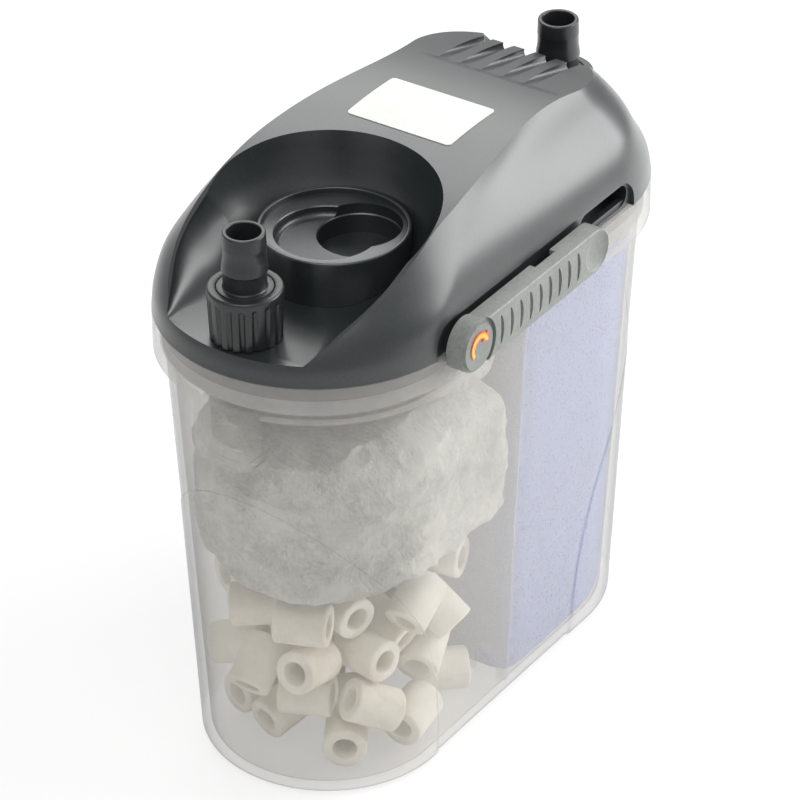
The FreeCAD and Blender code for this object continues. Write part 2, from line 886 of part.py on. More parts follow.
def make_label():
    """Thin bare plate on the crown, following its curve."""
    y_low = label_y - label_length / 2
    y_high = label_y + label_length / 2
    half = label_width / 2
    area = box(-half, half, y_low, y_high, 195, 215)
    corners = [edge for edge in area.Edges if edge.BoundBox.ZLength > 10]
    area = area.makeFillet(1.5, corners)
    return area.common(crown_block(-label_thickness)).cut(crown_block(0))


# Hose nozzles


def make_barb(y, nut_top):
    """Hose nozzle: clamping flange, collar and a tube with two barbs."""
    flange_low = nut_top - collar_height - flange_height
    barb_low = nut_top
    top = barb_low + barb_height
    outline = [
        (barb_bore, flange_low), (stub_radius, flange_low), (stub_radius, flange_low + flange_height),
        (collar_radius, flange_low + flange_height), (collar_radius, barb_low - 0.4),
        (collar_radius - 0.4, barb_low), (barb_root_radius, barb_low),
        (barb_root_radius, barb_low + barb_land), (barb_shoulder_radius, barb_low + barb_land),
        (barb_root_radius, barb_low + barb_land + 4.0), (barb_root_radius, top - 5.5),
        (barb_tip_radius + 0.1, top - 5.5), (barb_tip_radius, top - 0.8), (barb_tip_radius - 0.7, top),
        (barb_bore, top),
    ]
    return turned(outline, y)


def make_seal(y, nut_top):
    """Flat washer between a stub and the nozzle's flange."""
    high = nut_top - collar_height - flange_height
    ring = cylinder(stub_radius - 0.6, high - seal_height, high, 0, y)
    return ring.cut(cylinder(stub_bore, high - seal_height - 1, high + 1, 0, y))


def make_nut(y, nut_top):
    """Fluted clamping nut that holds a nozzle on its stub."""
    bottom = nut_top - nut_height
    lip_low = nut_top - collar_height + 0.05
    flute_top = nut_top - nut_band
    fluted = Part.makeLoft([
        fluted_outline(nut_radius_bottom, y, bottom),
        fluted_outline(nut_radius_top, y, flute_top),
    ], True, True)
    band = turned([
        (0, flute_top), (nut_radius_top, flute_top), (nut_radius_top, nut_top - 1.0),
        (nut_radius_top - 0.6, nut_top), (0, nut_top),
    ], y)
    return fluted.fuse(band).cut([
        cylinder(stub_radius + thread_gap, bottom - 1, lip_low, 0, y),
        cylinder(collar_radius + 0.15, lip_low - 1, nut_top + 1, 0, y),
    ])


def fluted_outline(radius, y, z):
    """Closed wire round the nut, stepping in at each flute."""
    points = []
    for index in range(nut_flutes):
        for share, depth in ((0.0, 0.0), (0.5, 0.0), (0.65, nut_flute_depth), (0.85, nut_flute_depth)):
            turn = 2 * math.pi * (index + share) / nut_flutes
            reach = radius * (1 - depth / nut_radius_top)
            points.append(Vector(reach * math.cos(turn), y + reach * math.sin(turn), z))
    return polygon(points)


# Latch levers


def lever_slab(inset, x_low, x_high):
    """Slab of the lever's side view between two places on X, drawn in by inset."""
    half = lever_half_height - inset
    tail_y = lever_tail_y - lever_half_height
    disc = x_cylinder(lever_disc_radius - inset, x_low, x_high, pivot_y, pivot_z)
    bar = box(x_low, x_high, pivot_y, tail_y, pivot_z - half, pivot_z + half)
    tail = x_cylinder(half, x_low, x_high, tail_y, pivot_z)
    return disc.fuse(bar).fuse(tail).removeSplitter()


def make_lever():
    """Right lever: open hollow bar with a hub, a gripped face and a gap for the lug."""
    body = lever_slab(0, lever_inner_x, lever_outer_x)
    face_inner = lever_outer_x - lever_face
    body = body.cut(lever_slab(lever_wall, lever_inner_x - 1, face_inner))
    hub = x_cylinder(hub_radius, lever_inner_x + fit_gap, face_inner + 0.5, pivot_y, pivot_z)
    body = body.fuse(hub)
    bore = x_cylinder(pin_radius + pin_running_gap, lever_inner_x - 2, pin_outer_x + 0.2, pivot_y, pivot_z)
    body = body.cut(bore)
    exit_gap = box(lever_inner_x - 1, lug_outer_x + lug_gap, pivot_y + lug_exit[0], pivot_y + lug_exit[1],
                   pivot_z + lever_half_height - lever_wall - 1, pivot_z + lever_half_height + 1)
    body = body.cut(exit_gap)
    for index in range(grip_count):
        body = body.cut(grip_groove(grip_first_y + index * grip_pitch))
    return body.cut(thumb_dimple())


def grip_groove(y):
    """Crescent groove across the lever's face."""
    radius = grip_height * 0.9
    outer = x_cylinder(radius, lever_outer_x - grip_depth, lever_outer_x + 1, y - radius + grip_width, pivot_z)
    inner = x_cylinder(radius, lever_outer_x - grip_depth - 1, lever_outer_x + 2, y - radius, pivot_z)
    band = box(lever_outer_x - 2, lever_outer_x + 2, y - 6, y + 6,
               pivot_z - grip_height / 2, pivot_z + grip_height / 2)
    return outer.cut(inner).common(band)


def thumb_dimple():
    """Shallow oval hollow near the lever's tail, a slice of a solid turned about a line along Y."""
    round_radius = ((dimple_height / 2) ** 2 + dimple_depth ** 2) / (2 * dimple_depth)
    share = math.sqrt(1 - ((round_radius - dimple_depth) / round_radius) ** 2)
    half_length = dimple_length / 2 / share
    axis_point = Vector(lever_outer_x + round_radius - dimple_depth, dimple_y, pivot_z)
    front = axis_point - Vector(0, half_length, 0)
    rear = axis_point + Vector(0, half_length, 0)
    ellipse = Part.Ellipse(rear, axis_point - Vector(round_radius, 0, 0), axis_point)
    half = Part.Wire([ellipse.toShape(0, math.pi), Part.makeLine(front, rear)])
    return Part.Face(half).revolve(axis_point, Vector(0, 1, 0), 360)


def make_arrow():
    """Raised turning arrow on the lever's disc."""
    x_low = lever_outer_x
    inner = arrow_radius - arrow_width
    ring = x_cylinder(arrow_radius, x_low, x_low + arrow_thickness, pivot_y, pivot_z)
    ring = ring.cut(x_cylinder(inner, x_low - 1, x_low + 2, pivot_y, pivot_z))
    wedge_points = [Vector(0, pivot_y, pivot_z)]
    for angle in (215, 175, 135, 95, 55, 25):
        turn = math.radians(angle)
        wedge_points.append(Vector(0, pivot_y + 12 * math.cos(turn), pivot_z + 12 * math.sin(turn)))
    band = ring.common(slab(polygon(wedge_points), x_low - 1, x_low + 1))
    middle = arrow_radius - arrow_width / 2
    turn = math.radians(25)
    across = Vector(0, math.cos(turn), math.sin(turn))
    along = Vector(0, math.sin(turn), -math.cos(turn))
    base = Vector(0, pivot_y, pivot_z) + across * middle
    tip = base + along * (arrow_width * 1.5)
    head = polygon([base + across * arrow_width, tip, base - across * arrow_width])
    return band.fuse(slab(head, x_low, x_low + arrow_thickness)).removeSplitter()


def make_pin():
    """Pivot pin of the right lever, pressed into the head."""
    return x_cylinder(pin_radius, pin_inner_x, pin_outer_x, pivot_y, pivot_z)


# Pump


def make_pump_housing():
    """Pump chamber with the rotor can on top and the outlet channel to the rear nozzle."""
    outer = chamber_radius + chamber_wall
    body = cylinder(outer, chamber_bottom, chamber_top + chamber_wall, 0, pump_y)
    body = body.fuse(cylinder(can_radius + can_wall, chamber_top, can_top, 0, pump_y))
    channel_high = skirt_bottom() - fit_gap
    channel_low = channel_high - duct_height - 2 * duct_wall
    channel_half = duct_width / 2 + duct_wall
    riser_outer = stub_bore - riser_gap
    channel = box(-channel_half, channel_half, pump_y, outlet_y, channel_low, channel_high)
    body = body.fuse(channel)
    body = body.fuse(cylinder(riser_outer, channel_low, outlet_seat(), 0, outlet_y))
    body = body.cut(cylinder(chamber_radius, chamber_bottom - 1, chamber_top, 0, pump_y))
    body = body.cut(cylinder(can_radius, chamber_top - 1, can_top - can_wall, 0, pump_y))
    body = body.cut(cylinder(bush_radius, can_top - can_wall - 1, can_top - can_wall / 2, 0, pump_y))
    half = duct_width / 2
    body = body.cut(box(-half, half, pump_y, outlet_y, channel_low + duct_wall, channel_high - duct_wall))
    body = body.cut(cylinder(riser_outer - duct_wall, channel_low + duct_wall, outlet_seat() + 1, 0, outlet_y))
    ends = stadium_block(gasket_inner - fit_gap, straight, 140, 200)
    return body.common(ends).removeSplitter()


def outlet_seat():
    """Height of the outlet riser's upper end in its stub."""
    return outlet_nut_top - collar_height - flange_height - seal_height - 1


def make_impeller_cover():
    """Disc that closes the pump chamber, with intake slots and a bush seat."""
    disc = cylinder(chamber_radius, chamber_bottom, chamber_bottom + cover_thickness, 0, pump_y)
    disc = disc.cut(cylinder(bush_radius, chamber_bottom + cover_thickness - bush_height / 2,
                             chamber_bottom + cover_thickness + 1, 0, pump_y))
    for index in range(intake_slots):
        turn = 2 * math.pi * index / intake_slots
        x = intake_ring_radius * math.cos(turn)
        y = pump_y + intake_ring_radius * math.sin(turn)
        disc = disc.cut(cylinder(intake_slot_radius, chamber_bottom - 1, chamber_bottom + 5, x, y))
    return disc


def bush_places():
    """Lower and upper ends of the two shaft bushes."""
    low_end = chamber_bottom + cover_thickness - bush_height / 2
    high_end = can_top - can_wall / 2
    return [(low_end, low_end + bush_height), (high_end - bush_height, high_end)]


def make_bushes():
    """Rubber bushes that hold the shaft's ends."""
    bushes = []
    for low, high in bush_places():
        ring = cylinder(bush_radius, low, high, 0, pump_y)
        bushes.append(ring.cut(cylinder(shaft_radius, low - 1, high + 1, 0, pump_y)))
    return Part.makeCompound(bushes)


def make_shaft():
    """Fixed ceramic shaft."""
    low, high = bush_places()[0][0], bush_places()[1][1]
    return cylinder(shaft_radius, low, high, 0, pump_y)


def make_magnet():
    """Rotor magnet with the bore for the shaft."""
    magnet = cylinder(magnet_radius, magnet_bottom, magnet_top, 0, pump_y)
    return magnet.cut(rotor_bore())


def rotor_bore():
    """Running bore through the rotor."""
    return cylinder(shaft_radius + rotor_running_gap, 140, 210, 0, pump_y)


def make_impeller():
    """Impeller: hub and straight blades, under the magnet."""
    low = bush_places()[0][1] + fit_gap
    hub = cylinder(impeller_hub, low, magnet_bottom, 0, pump_y)
    blade = box(0, impeller_radius, -blade_thickness / 2, blade_thickness / 2, low, low + blade_height)
    blade.translate(Vector(0, pump_y, 0))
    axis_point = Vector(0, pump_y, 0)
    for index in range(impeller_blades):
        turned_blade = blade.copy()
        turned_blade.rotate(axis_point, Vector(0, 0, 1), 360 * index / impeller_blades)
        hub = hub.fuse(turned_blade)
    return hub.cut(rotor_bore()).removeSplitter()


def make_core():
    """Laminated stator core: two legs joined at the front, their poles round the rotor can."""
    outer = can_radius + can_wall + core_leg
    top = core_bottom + core_height
    core = box(-outer, outer, core_front, core_rear, core_bottom, top)
    inner = can_radius + can_wall - core_overlap
    core = core.cut(box(-inner, inner, core_front + core_leg, core_rear + 1, core_bottom - 1, top + 1))
    return core.cut(cylinder(can_radius + can_wall + fit_gap, core_bottom - 1, top + 1, 0, pump_y))


def make_coils():
    """Two coils on the legs of the core."""
    coils = []
    inner = can_radius + can_wall - core_overlap
    leg_outer = can_radius + can_wall + core_leg
    y_low = core_front + core_leg + coil_gap
    for side in (-1, 1):
        x_low = min(side * inner, side * leg_outer)
        x_high = max(side * inner, side * leg_outer)
        winding = box(x_low - coil_build, x_high + coil_build, y_low, y_low + coil_length,
                      core_bottom - coil_build, core_bottom + core_height + coil_build)
        edges = [edge for edge in winding.Edges if edge.BoundBox.YLength > coil_length - 1]
        winding = winding.makeFillet(coil_corner, edges)
        winding = winding.cut(box(x_low, x_high, y_low - 1, y_low + coil_length + 1,
                                  core_bottom, core_bottom + core_height))
        coils.append(winding.common(box(0, 60, -60, 60, 100, 250) if side > 0
                                    else box(-60, 0, -60, 60, 100, 250)))
    return Part.makeCompound(coils)


def make_inlet_duct():
    """Drop tube from the inlet nozzle into the front chamber."""
    outer = stub_bore - riser_gap
    top = inlet_nut_top - collar_height - flange_height - seal_height - 1
    tube = cylinder(outer, inlet_duct_bottom, top, 0, inlet_y)
    flange_high = skirt_bottom() - 0.05
    tube = tube.fuse(cylinder(outer + duct_flange_extra, flange_high - duct_flange_height, flange_high,
                              0, inlet_y))
    return tube.cut(cylinder(outer - duct_wall, inlet_duct_bottom - 1, top + 1, 0, inlet_y))


def make_screws():
    """Four floor screws."""
    screws = []
    for x, y in post_places:
        head = cylinder(screw_head_radius, skirt_bottom() - screw_head_height, skirt_bottom(), x, y)
        screws.append(screw_shank(x, y).fuse(head))
    return Part.makeCompound(screws)


def make_gland():
    """Rubber gland for the supply cable, in the wall behind the cooling grooves."""
    neck = gland_part(gland_neck, -head_wall - gland_inner_length, gland_flange_length)
    gland = neck.fuse(gland_part(gland_flange, 0, gland_flange_length))
    gland = gland.fuse(gland_part(gland_flange, -head_wall - gland_inner_length, -head_wall))
    return gland.cut(gland_part(gland_bore, -20, 20))


def build():
    """All sub-parts by name."""
    lever = make_lever()
    arrow = make_arrow()
    pin = make_pin()
    return {
        "canister": make_canister(),
        "divider": make_divider(),
        "sponge_block": make_sponge(),
        "ceramic_rings": make_rings(),
        "filter_wadding": make_wadding(),
        "wadding_top_pad": make_top_pad(),
        "head_shell": make_head_shell(),
        "bowl_ring": make_bowl_ring(),
        "head_floor": make_head_floor(),
        "head_gasket": make_gasket(),
        "rating_label": make_label(),
        "inlet_barb": make_barb(inlet_y, inlet_nut_top),
        "outlet_barb": make_barb(outlet_y, outlet_nut_top),
        "inlet_seal": make_seal(inlet_y, inlet_nut_top),
        "outlet_seal": make_seal(outlet_y, outlet_nut_top),
        "inlet_nut": make_nut(inlet_y, inlet_nut_top),
        "outlet_nut": make_nut(outlet_y, outlet_nut_top),
        "inlet_duct": make_inlet_duct(),
        "pump_housing": make_pump_housing(),
        "impeller_cover": make_impeller_cover(),
        "shaft_bushes": make_bushes(),
        "rotor_shaft": make_shaft(),
        "rotor_magnet": make_magnet(),
        "impeller": make_impeller(),
        "stator_core": make_core(),
        "stator_coils": make_coils(),
        "floor_screws": make_screws(),
        "cable_gland": make_gland(),
        "lever_right": lever,
        "lever_left": opposite(lever),
        "arrow_right": arrow,
        "arrow_left": opposite(arrow),
        "pin_right": pin,
        "pin_left": opposite(pin),
    }


for node, shape in build().items():
    shape.exportStep(f"parts/{node}.step")
    box_size = shape.BoundBox
    print(node, len(shape.Solids), shape.isValid(), round(shape.Volume),
          [round(value, 1) for value in (box_size.XMin, box_size.XMax, box_size.YMin, box_size.YMax,
                                         box_size.ZMin, box_size.ZMax)])
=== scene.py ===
"""Looks of a small canister filter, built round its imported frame.

Sizes are millimetres in the CAD part's frame: X across, Y to the rear, Z up. They become metres
where a mesh is made. Every class holds one sub-assembly: its sizes, its shapes and its finishes.
"""
import logging
import math
from dataclasses import dataclass
from enum import Enum

import bmesh
import bpy
import numpy as np
from mathutils import Matrix

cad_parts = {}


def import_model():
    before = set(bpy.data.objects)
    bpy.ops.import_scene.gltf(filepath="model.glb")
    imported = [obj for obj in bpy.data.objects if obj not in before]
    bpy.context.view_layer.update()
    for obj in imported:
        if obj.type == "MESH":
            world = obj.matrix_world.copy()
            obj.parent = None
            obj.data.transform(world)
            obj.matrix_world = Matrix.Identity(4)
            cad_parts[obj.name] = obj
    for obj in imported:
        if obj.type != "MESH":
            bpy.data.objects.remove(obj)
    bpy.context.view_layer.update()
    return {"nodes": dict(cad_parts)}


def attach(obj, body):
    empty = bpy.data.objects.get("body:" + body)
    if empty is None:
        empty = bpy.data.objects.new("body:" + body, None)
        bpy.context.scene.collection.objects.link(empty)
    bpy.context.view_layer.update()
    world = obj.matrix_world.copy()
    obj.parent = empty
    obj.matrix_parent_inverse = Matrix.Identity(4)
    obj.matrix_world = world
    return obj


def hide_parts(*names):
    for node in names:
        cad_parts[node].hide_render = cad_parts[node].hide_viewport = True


LOG = logging.getLogger("canister_filter")
MM = 0.001
LATTICE_SIZE = 128
LATTICE_SHIFT = 61.3
Array = np.ndarray
Colour = tuple[float, float, float]
Piece = bpy.types.Object


class Body(Enum):
    """The CAD bodies that pieces ride on."""

    CANISTER = "canister_body"
    HEAD = "pump_head"
    RIGHT_LEVER = "right_lever"
    LEFT_LEVER = "left_lever"
    FRONT_NUT = "front_nut"
    REAR_NUT = "rear_nut"


class Join(Enum):
    """What a Boolean modifier does with its tool."""

    CUT = "DIFFERENCE"
    ADD = "UNION"
    KEEP = "INTERSECT"


# Numbers


def through(knots: list[float], values: list, at: Array) -> Array:
    """Cubic Hermite curve through knots, its slopes taken from the neighbouring knots.

    Args:
        knots: Rising places.
        values: One number or row of numbers at each knot.
        at: Places to read.
    Returns:
        The values at those places.
    """
    places = np.asarray(knots, float)
    rows = np.asarray(values, float)
    flat = rows.ndim == 1
    rows = rows.reshape(len(places), -1)
    slopes = np.gradient(rows, places, axis=0)
    at = np.asarray(at, float)
    index = np.clip(np.searchsorted(places, at, side="right") - 1, 0, len(places) - 2)
    width = (places[index + 1] - places[index])[:, None]
    t = (at - places[index])[:, None] / width
    start = rows[index] * (2 * t**3 - 3 * t**2 + 1) + slopes[index] * width * (t**3 - 2 * t**2 + t)
    end = rows[index + 1] * (3 * t**2 - 2 * t**3) + slopes[index + 1] * width * (t**3 - t**2)
    found = start + end
    return found[:, 0] if flat else found


def smooth(share: Array) -> Array:
    """Smooth step from 0 to 1, with level ends."""
    share = np.clip(share, 0, 1)
    return share * share * (3 - 2 * share)


def squared_off(value: Array, power: float) -> Array:
    """Signed power of a cosine or sine, which squares a circle off."""
    return np.sign(value) * np.abs(value) ** power


def circle(count: int) -> Array:
    """Angles of a whole turn in count steps, without the last."""
    return np.linspace(0, 2 * math.pi, count, endpoint=False)


def arc(x: float, z: float, radius: float, first: float, last: float, count: int) -> Array:
    """Part of a circle: the centre plus radius times cosine and sine.

    Args:
        x: First coordinate of the centre.
        z: Second coordinate of the centre.
        radius: Radius of the circle.
        first: Angle of the first point, in degrees.
        last: Angle of the last point.
        count: Number of points.
    Returns:
        Points of two coordinates.
    """
    turn = np.radians(np.linspace(first, last, count))
    return np.c_[x + radius * np.cos(turn), z + radius * np.sin(turn)]


def lattice_noise(points: Array, cell: float, seed: int) -> Array:
    """Value noise from -1 to 1: random numbers on a cubic lattice, blended smoothly between its corners.

    Args:
        points: Places, in millimetres, last axis of three.
        cell: Width of a lattice cell.
        seed: Picks the random numbers.
    Returns:
        One number for each point.
    """
    scaled = points / cell + LATTICE_SHIFT
    base = np.floor(scaled).astype(int)
    share = smooth(scaled - base)
    table = np.random.default_rng(seed).uniform(-1, 1, (LATTICE_SIZE,) * 3)
    total = np.zeros(points.shape[:-1])
    for corner in np.ndindex(2, 2, 2):
        weight = np.prod(np.where(np.array(corner) == 1, share, 1 - share), axis=-1)
        place = (base + np.array(corner)) % LATTICE_SIZE
        total += weight * table[place[..., 0], place[..., 1], place[..., 2]]
    return total


def drawn_in(rows: Array, amount: Array) -> Array:
    """Rows moved level towards their middles, so that a form stays in its chamber.

    Args:
        rows: Closed outlines of shape (rows, around, 3).
        amount: How far each point moves.
    Returns:
        The moved rows.
    """
    away = rows - rows.mean(1, keepdims=True)
    away[..., 2] = 0
    return rows - away / np.linalg.norm(away, axis=-1, keepdims=True) * amount[..., None]


# Meshes


def linked(name: str, data: bpy.types.ID) -> Piece:
    """New object in the scene.

    Args:
        name: Name of the object.
        data: Its mesh, camera or lamp.
    Returns:
        The linked object.
    """
    made = bpy.data.objects.new(name, data)
    bpy.context.scene.collection.objects.link(made)
    return made


class Solid:
    """Helpers that turn numpy shapes into closed meshes and join them."""

    @staticmethod
    def mesh(name: str, points: Array, faces: list) -> Piece:
        """Object of points in millimetres and faces, its normals turned outwards.

        Args:
            name: Name of the object.
            points: Places of the vertices.
            faces: Lists of vertex numbers.
        Returns:
            The linked object.
        """
        data = bpy.data.meshes.new(name)
        data.from_pydata((points.reshape(-1, 3) * MM).tolist(), [], faces)
        data.validate()
        made = bmesh.new()
        made.from_mesh(data)
        bmesh.ops.remove_doubles(made, verts=made.verts, dist=1e-6)
        bmesh.ops.recalc_face_normals(made, faces=made.faces)
        made.to_mesh(data)
        made.free()
        return linked(name, data)

    @staticmethod
    def band(levels: int, around: int, closed: bool = True, first: int = 0) -> list:
        """Quads between neighbouring rows of a grid.

        Args:
            levels: Number of rows.
            around: Vertices in a row.
            closed: Whether the last column joins the first.
            first: Number of the grid's first vertex.
        Returns:
            Lists of four vertex numbers.
        """
        rows = np.arange(levels - 1)[:, None] * around + first
        last = around if closed else around - 1
        columns = np.arange(last)
        after = (columns + 1) % around
        quads = np.stack([rows + columns, rows + after, rows + around + after, rows + around + columns], -1)
        return quads.reshape(-1, 4).tolist()

    @classmethod
    def loft(cls, name: str, rows: Array) -> Piece:
        """Closed solid through a stack of closed outlines, with a flat face at each end.

        Args:
            name: Name of the object.
            rows: Outlines of shape (levels, around, 3).
        Returns:
            The linked object.
        """
        levels, around = rows.shape[:2]
        faces = cls.band(levels, around)
        faces.append(list(range(around)))
        faces.append(list(range((levels - 1) * around, levels * around)))
        return cls.mesh(name, rows, faces)

    @classmethod
    def ring(cls, name: str, rows: Array) -> Piece:
        """Closed tube: a stack of closed outlines whose last one joins the first.

        Args:
            name: Name of the object.
            rows: Outlines of shape (levels, around, 3).
        Returns:
            The linked object.
        """
        levels, around = rows.shape[:2]
        wrapped = np.concatenate([rows, rows[:1]])
        return cls.mesh(name, wrapped, cls.band(levels + 1, around))

    @classmethod
    def turned(cls, name: str, profile: list, centre: tuple[float, float], around: int = 128) -> Piece:
        """Solid of revolution: each (radius, z) of a profile is carried round an upright axis.

        Args:
            name: Name of the object.
            profile: Radius and height pairs. Ends on the axis become poles, else it closes on itself.
            centre: X and Y of the axis.
            around: Number of steps round the axis.
        Returns:
            The linked object.
        """
        pairs = np.asarray(profile, float)
        turn = circle(around)
        rows = np.stack([
            centre[0] + pairs[:, :1] * np.cos(turn),
            centre[1] + pairs[:, :1] * np.sin(turn),
            np.repeat(pairs[:, 1:], around, axis=1),
        ], -1)
        if pairs[0, 0] < 1e-6 and pairs[-1, 0] < 1e-6:
            return cls.mesh(name, rows, cls.band(len(pairs), around))
        return cls.ring(name, rows)

    @classmethod
    def height_block(cls, name: str, xs: Array, ys: Array, top: Array, low: Array) -> Piece:
        """Block under a height field: an upper and a lower grid, joined by four walls.

        Args:
            name: Name of the object.
            xs: Places of the grid's lines along X.
            ys: Places of the grid's lines along Y.
            top: Heights of the upper grid, or of one row of it.
            low: Heights of the lower grid, or one height.
        Returns:
            The linked object.
        """
        count_x, count_y = len(xs), len(ys)
        grid_x, grid_y = np.meshgrid(xs, ys, indexing="ij")
        upper = np.stack([grid_x, grid_y, np.broadcast_to(top, grid_x.shape)], -1)
        lower = np.stack([grid_x, grid_y, np.broadcast_to(low, grid_x.shape)], -1)
        count = count_x * count_y
        faces = cls.band(count_x, count_y, False) + cls.band(count_x, count_y, False, count)
        number = np.arange(count).reshape(count_x, count_y)
        edge = np.concatenate([number[0, :-1], number[:-1, -1], number[-1, :0:-1], number[:0:-1, 0]])
        after = np.roll(edge, -1)
        faces += np.stack([edge, after, after + count, edge + count], -1).tolist()
        return cls.mesh(name, np.concatenate([upper.reshape(-1, 3), lower.reshape(-1, 3)]), faces)

    @staticmethod
    def join(base: Piece, steps: list[tuple[Join, Piece]]) -> Piece:
        """Join tools with the base in order, then remove them.

        Args:
            base: Object that is kept.
            steps: What to do with each tool.
        Returns:
            The base with its new mesh.
        """
        for action, tool in steps:
            modifier = base.modifiers.new(tool.name, "BOOLEAN")
            modifier.operation = action.value
            modifier.solver = "MANIFOLD"
            modifier.object = tool
        graph = bpy.context.evaluated_depsgraph_get()
        made = bpy.data.meshes.new_from_object(base.evaluated_get(graph))
        base.modifiers.clear()
        base.data = made
        for _, tool in steps:
            bpy.data.objects.remove(tool)
        return base

    @classmethod
    def cut(cls, base: Piece, tools: list[Piece]) -> Piece:
        """Cut tools out of the base in order."""
        return cls.join(base, [(Join.CUT, tool) for tool in tools])

    @classmethod
    def add(cls, base: Piece, tools: list[Piece]) -> Piece:
        """Add tools to the base in order."""
        return cls.join(base, [(Join.ADD, tool) for tool in tools])

    @staticmethod
    def shade(piece: Piece, angle: float = 32.0) -> None:
        """Smooth shading, sharp where two faces meet at more than an angle in degrees."""
        piece.data.shade_smooth()
        piece.data.set_sharp_from_angle(angle=math.radians(angle))


def box_points(low: tuple, high: tuple) -> Array:
    """Two outlines of a box between two corners, as rows for a loft."""
    outline = np.array([(low[0], low[1]), (high[0], low[1]), (high[0], high[1]), (low[0], high[1])], float)
    return np.stack([np.c_[outline, np.full(4, z)] for z in (low[2], high[2])])


def stadium(radius: float, half_straight: float, count: int = 64) -> Array:
    """Outline in X and Y of two half circles joined by straights.

    Args:
        radius: Radius of the half circles.
        half_straight: Half length of the straights.
        count: Steps on each half circle. A straight has half as many.
    Returns:
        Points round the outline.
    """
    turn = np.linspace(0, math.pi, count, endpoint=False)
    side = np.linspace(-half_straight, half_straight, count // 2, endpoint=False)
    right = np.c_[np.full(len(side), radius), side]
    rear = np.c_[radius * np.cos(turn), half_straight + radius * np.sin(turn)]
    return np.concatenate([right, rear, -right, -rear])


def raised(outline: Array, z: float) -> Array:
    """Outline of X and Y carried to a height."""
    return np.c_[outline, np.full(len(outline), z)]


def stadium_stack(levels: list[tuple[float, float, float]], count: int = 64) -> Array:
    """Rows for a loft from (radius, half straight, z) triples."""
    return np.stack([raised(stadium(radius, half, count), z) for radius, half, z in levels])


def upright_loft(name: str, outline: Array, heights: tuple[float, float]) -> Piece:
    """Upright block of one outline of X and Y between two heights."""
    return Solid.loft(name, np.stack([raised(outline, z) for z in heights]))


def along_x(outline: Array, places: list[float]) -> Array:
    """Rows for a loft along X from one outline of Y and Z."""
    return np.stack([np.c_[np.full(len(outline), x), outline] for x in places])


def round_box(low: tuple[float, float], high: tuple[float, float], radius: float, count: int) -> Array:
    """Outline of a rectangle with round corners, counter-clockwise.

    Args:
        low: Its lowest corner.
        high: Its highest corner.
        radius: Radius of the round corners.
        count: Points on each corner.
    Returns:
        Points of two coordinates.
    """
    turn = np.linspace(0, math.pi / 2, count)
    centres = [(high[0] - radius, high[1] - radius), (low[0] + radius, high[1] - radius),
               (low[0] + radius, low[1] + radius), (high[0] - radius, low[1] + radius)]
    corners = []
    for number, (x, y) in enumerate(centres):
        angle = turn + number * math.pi / 2
        corners.append(np.c_[x + radius * np.cos(angle), y + radius * np.sin(angle)])
    return np.concatenate(corners)


def half_turn(rows: Array) -> Array:
    """Points after half a turn about the upright axis."""
    return rows * np.array([-1, -1, 1])


def rod(name: str, start: tuple | Array, end: tuple | Array, radius: float, around: int = 64) -> Piece:
    """Round bar: a circle across the line between two points, carried from one to the other.

    Args:
        name: Name of the bar.
        start: Middle of its first end.
        end: Middle of its last end.
        radius: Its radius.
        around: Number of steps round it.
    Returns:
        The linked object.
    """
    start, end = np.asarray(start, float), np.asarray(end, float)
    along = (end - start) / np.linalg.norm(end - start)
    side = np.cross(along, (0.0, 0.0, 1.0) if abs(along[2]) < 0.9 else (1.0, 0.0, 0.0))
    side /= np.linalg.norm(side)
    other = np.cross(along, side)
    turn = circle(around)[:, None]
    outline = radius * (np.cos(turn) * side + np.sin(turn) * other)
    return Solid.loft(name, np.stack([start + outline, end + outline]))


def upright(name: str, radius: float, low: float, high: float, x: float = 0.0, y: float = 0.0) -> Piece:
    """Upright round bar between two heights."""
    return rod(name, (x, y, low), (x, y, high), radius)


def separate_solids(node: Piece) -> list[Array]:
    """Vertices of each solid in a mesh of loose triangles, as one array for each.

    Every vertex takes the lowest number among its triangles' vertices until nothing changes.

    Args:
        node: The CAD node.
    Returns:
        Places in millimetres, by solid.
    """
    data = node.data
    points = np.empty(len(data.vertices) * 3)
    data.vertices.foreach_get("co", points)
    faces = np.empty(len(data.loop_triangles) * 3, np.int64)
    data.loop_triangles.foreach_get("vertices", faces)
    places = np.round(points.reshape(-1, 3) / MM, 3)
    unique, number = np.unique(places, axis=0, return_inverse=True)
    faces = number.ravel()[faces].reshape(-1, 3)
    label = np.arange(len(unique))
    settled = False
    while not settled:
        before = label.copy()
        np.minimum.at(label, faces, label[faces].min(1)[:, None])
        settled = np.array_equal(before, label)
    return [unique[label == one] for one in np.unique(label)]


# Shader maths


class Value:
    """A socket whose sums and products add Math nodes."""

    def __init__(self, nodes: "NodeSet", socket: bpy.types.NodeSocket) -> None:
        """Wraps a socket of a node set."""
        self.nodes = nodes
        self.socket = socket

    def maths(self, operation: str, first: object, second: object = 0.0) -> "Value":
        """One Math node."""
        return self.nodes.add("ShaderNodeMath", {"operation": operation}, {0: first, 1: second})

    def __add__(self, other: object) -> "Value":
        """Sum."""
        return self.maths("ADD", self, other)

    __radd__ = __add__

    def __sub__(self, other: object) -> "Value":
        """Difference."""
        return self.maths("SUBTRACT", self, other)

    def __rsub__(self, other: object) -> "Value":
        """Difference from a number."""
        return self.maths("SUBTRACT", other, self)

    def __mul__(self, other: object) -> "Value":
        """Product."""
        return self.maths("MULTIPLY", self, other)

    __rmul__ = __mul__

    def __pow__(self, other: object) -> "Value":
        """Power."""
        return self.maths("POWER", self, other)

    def between(self, low: float, high: float) -> "Value":
        """Smooth step that is 0 at low and 1 at high."""
        inputs = {"Value": self, "From Min": low, "From Max": high}
        return self.nodes.add("ShaderNodeMapRange", {"interpolation_type": "SMOOTHSTEP"}, inputs)


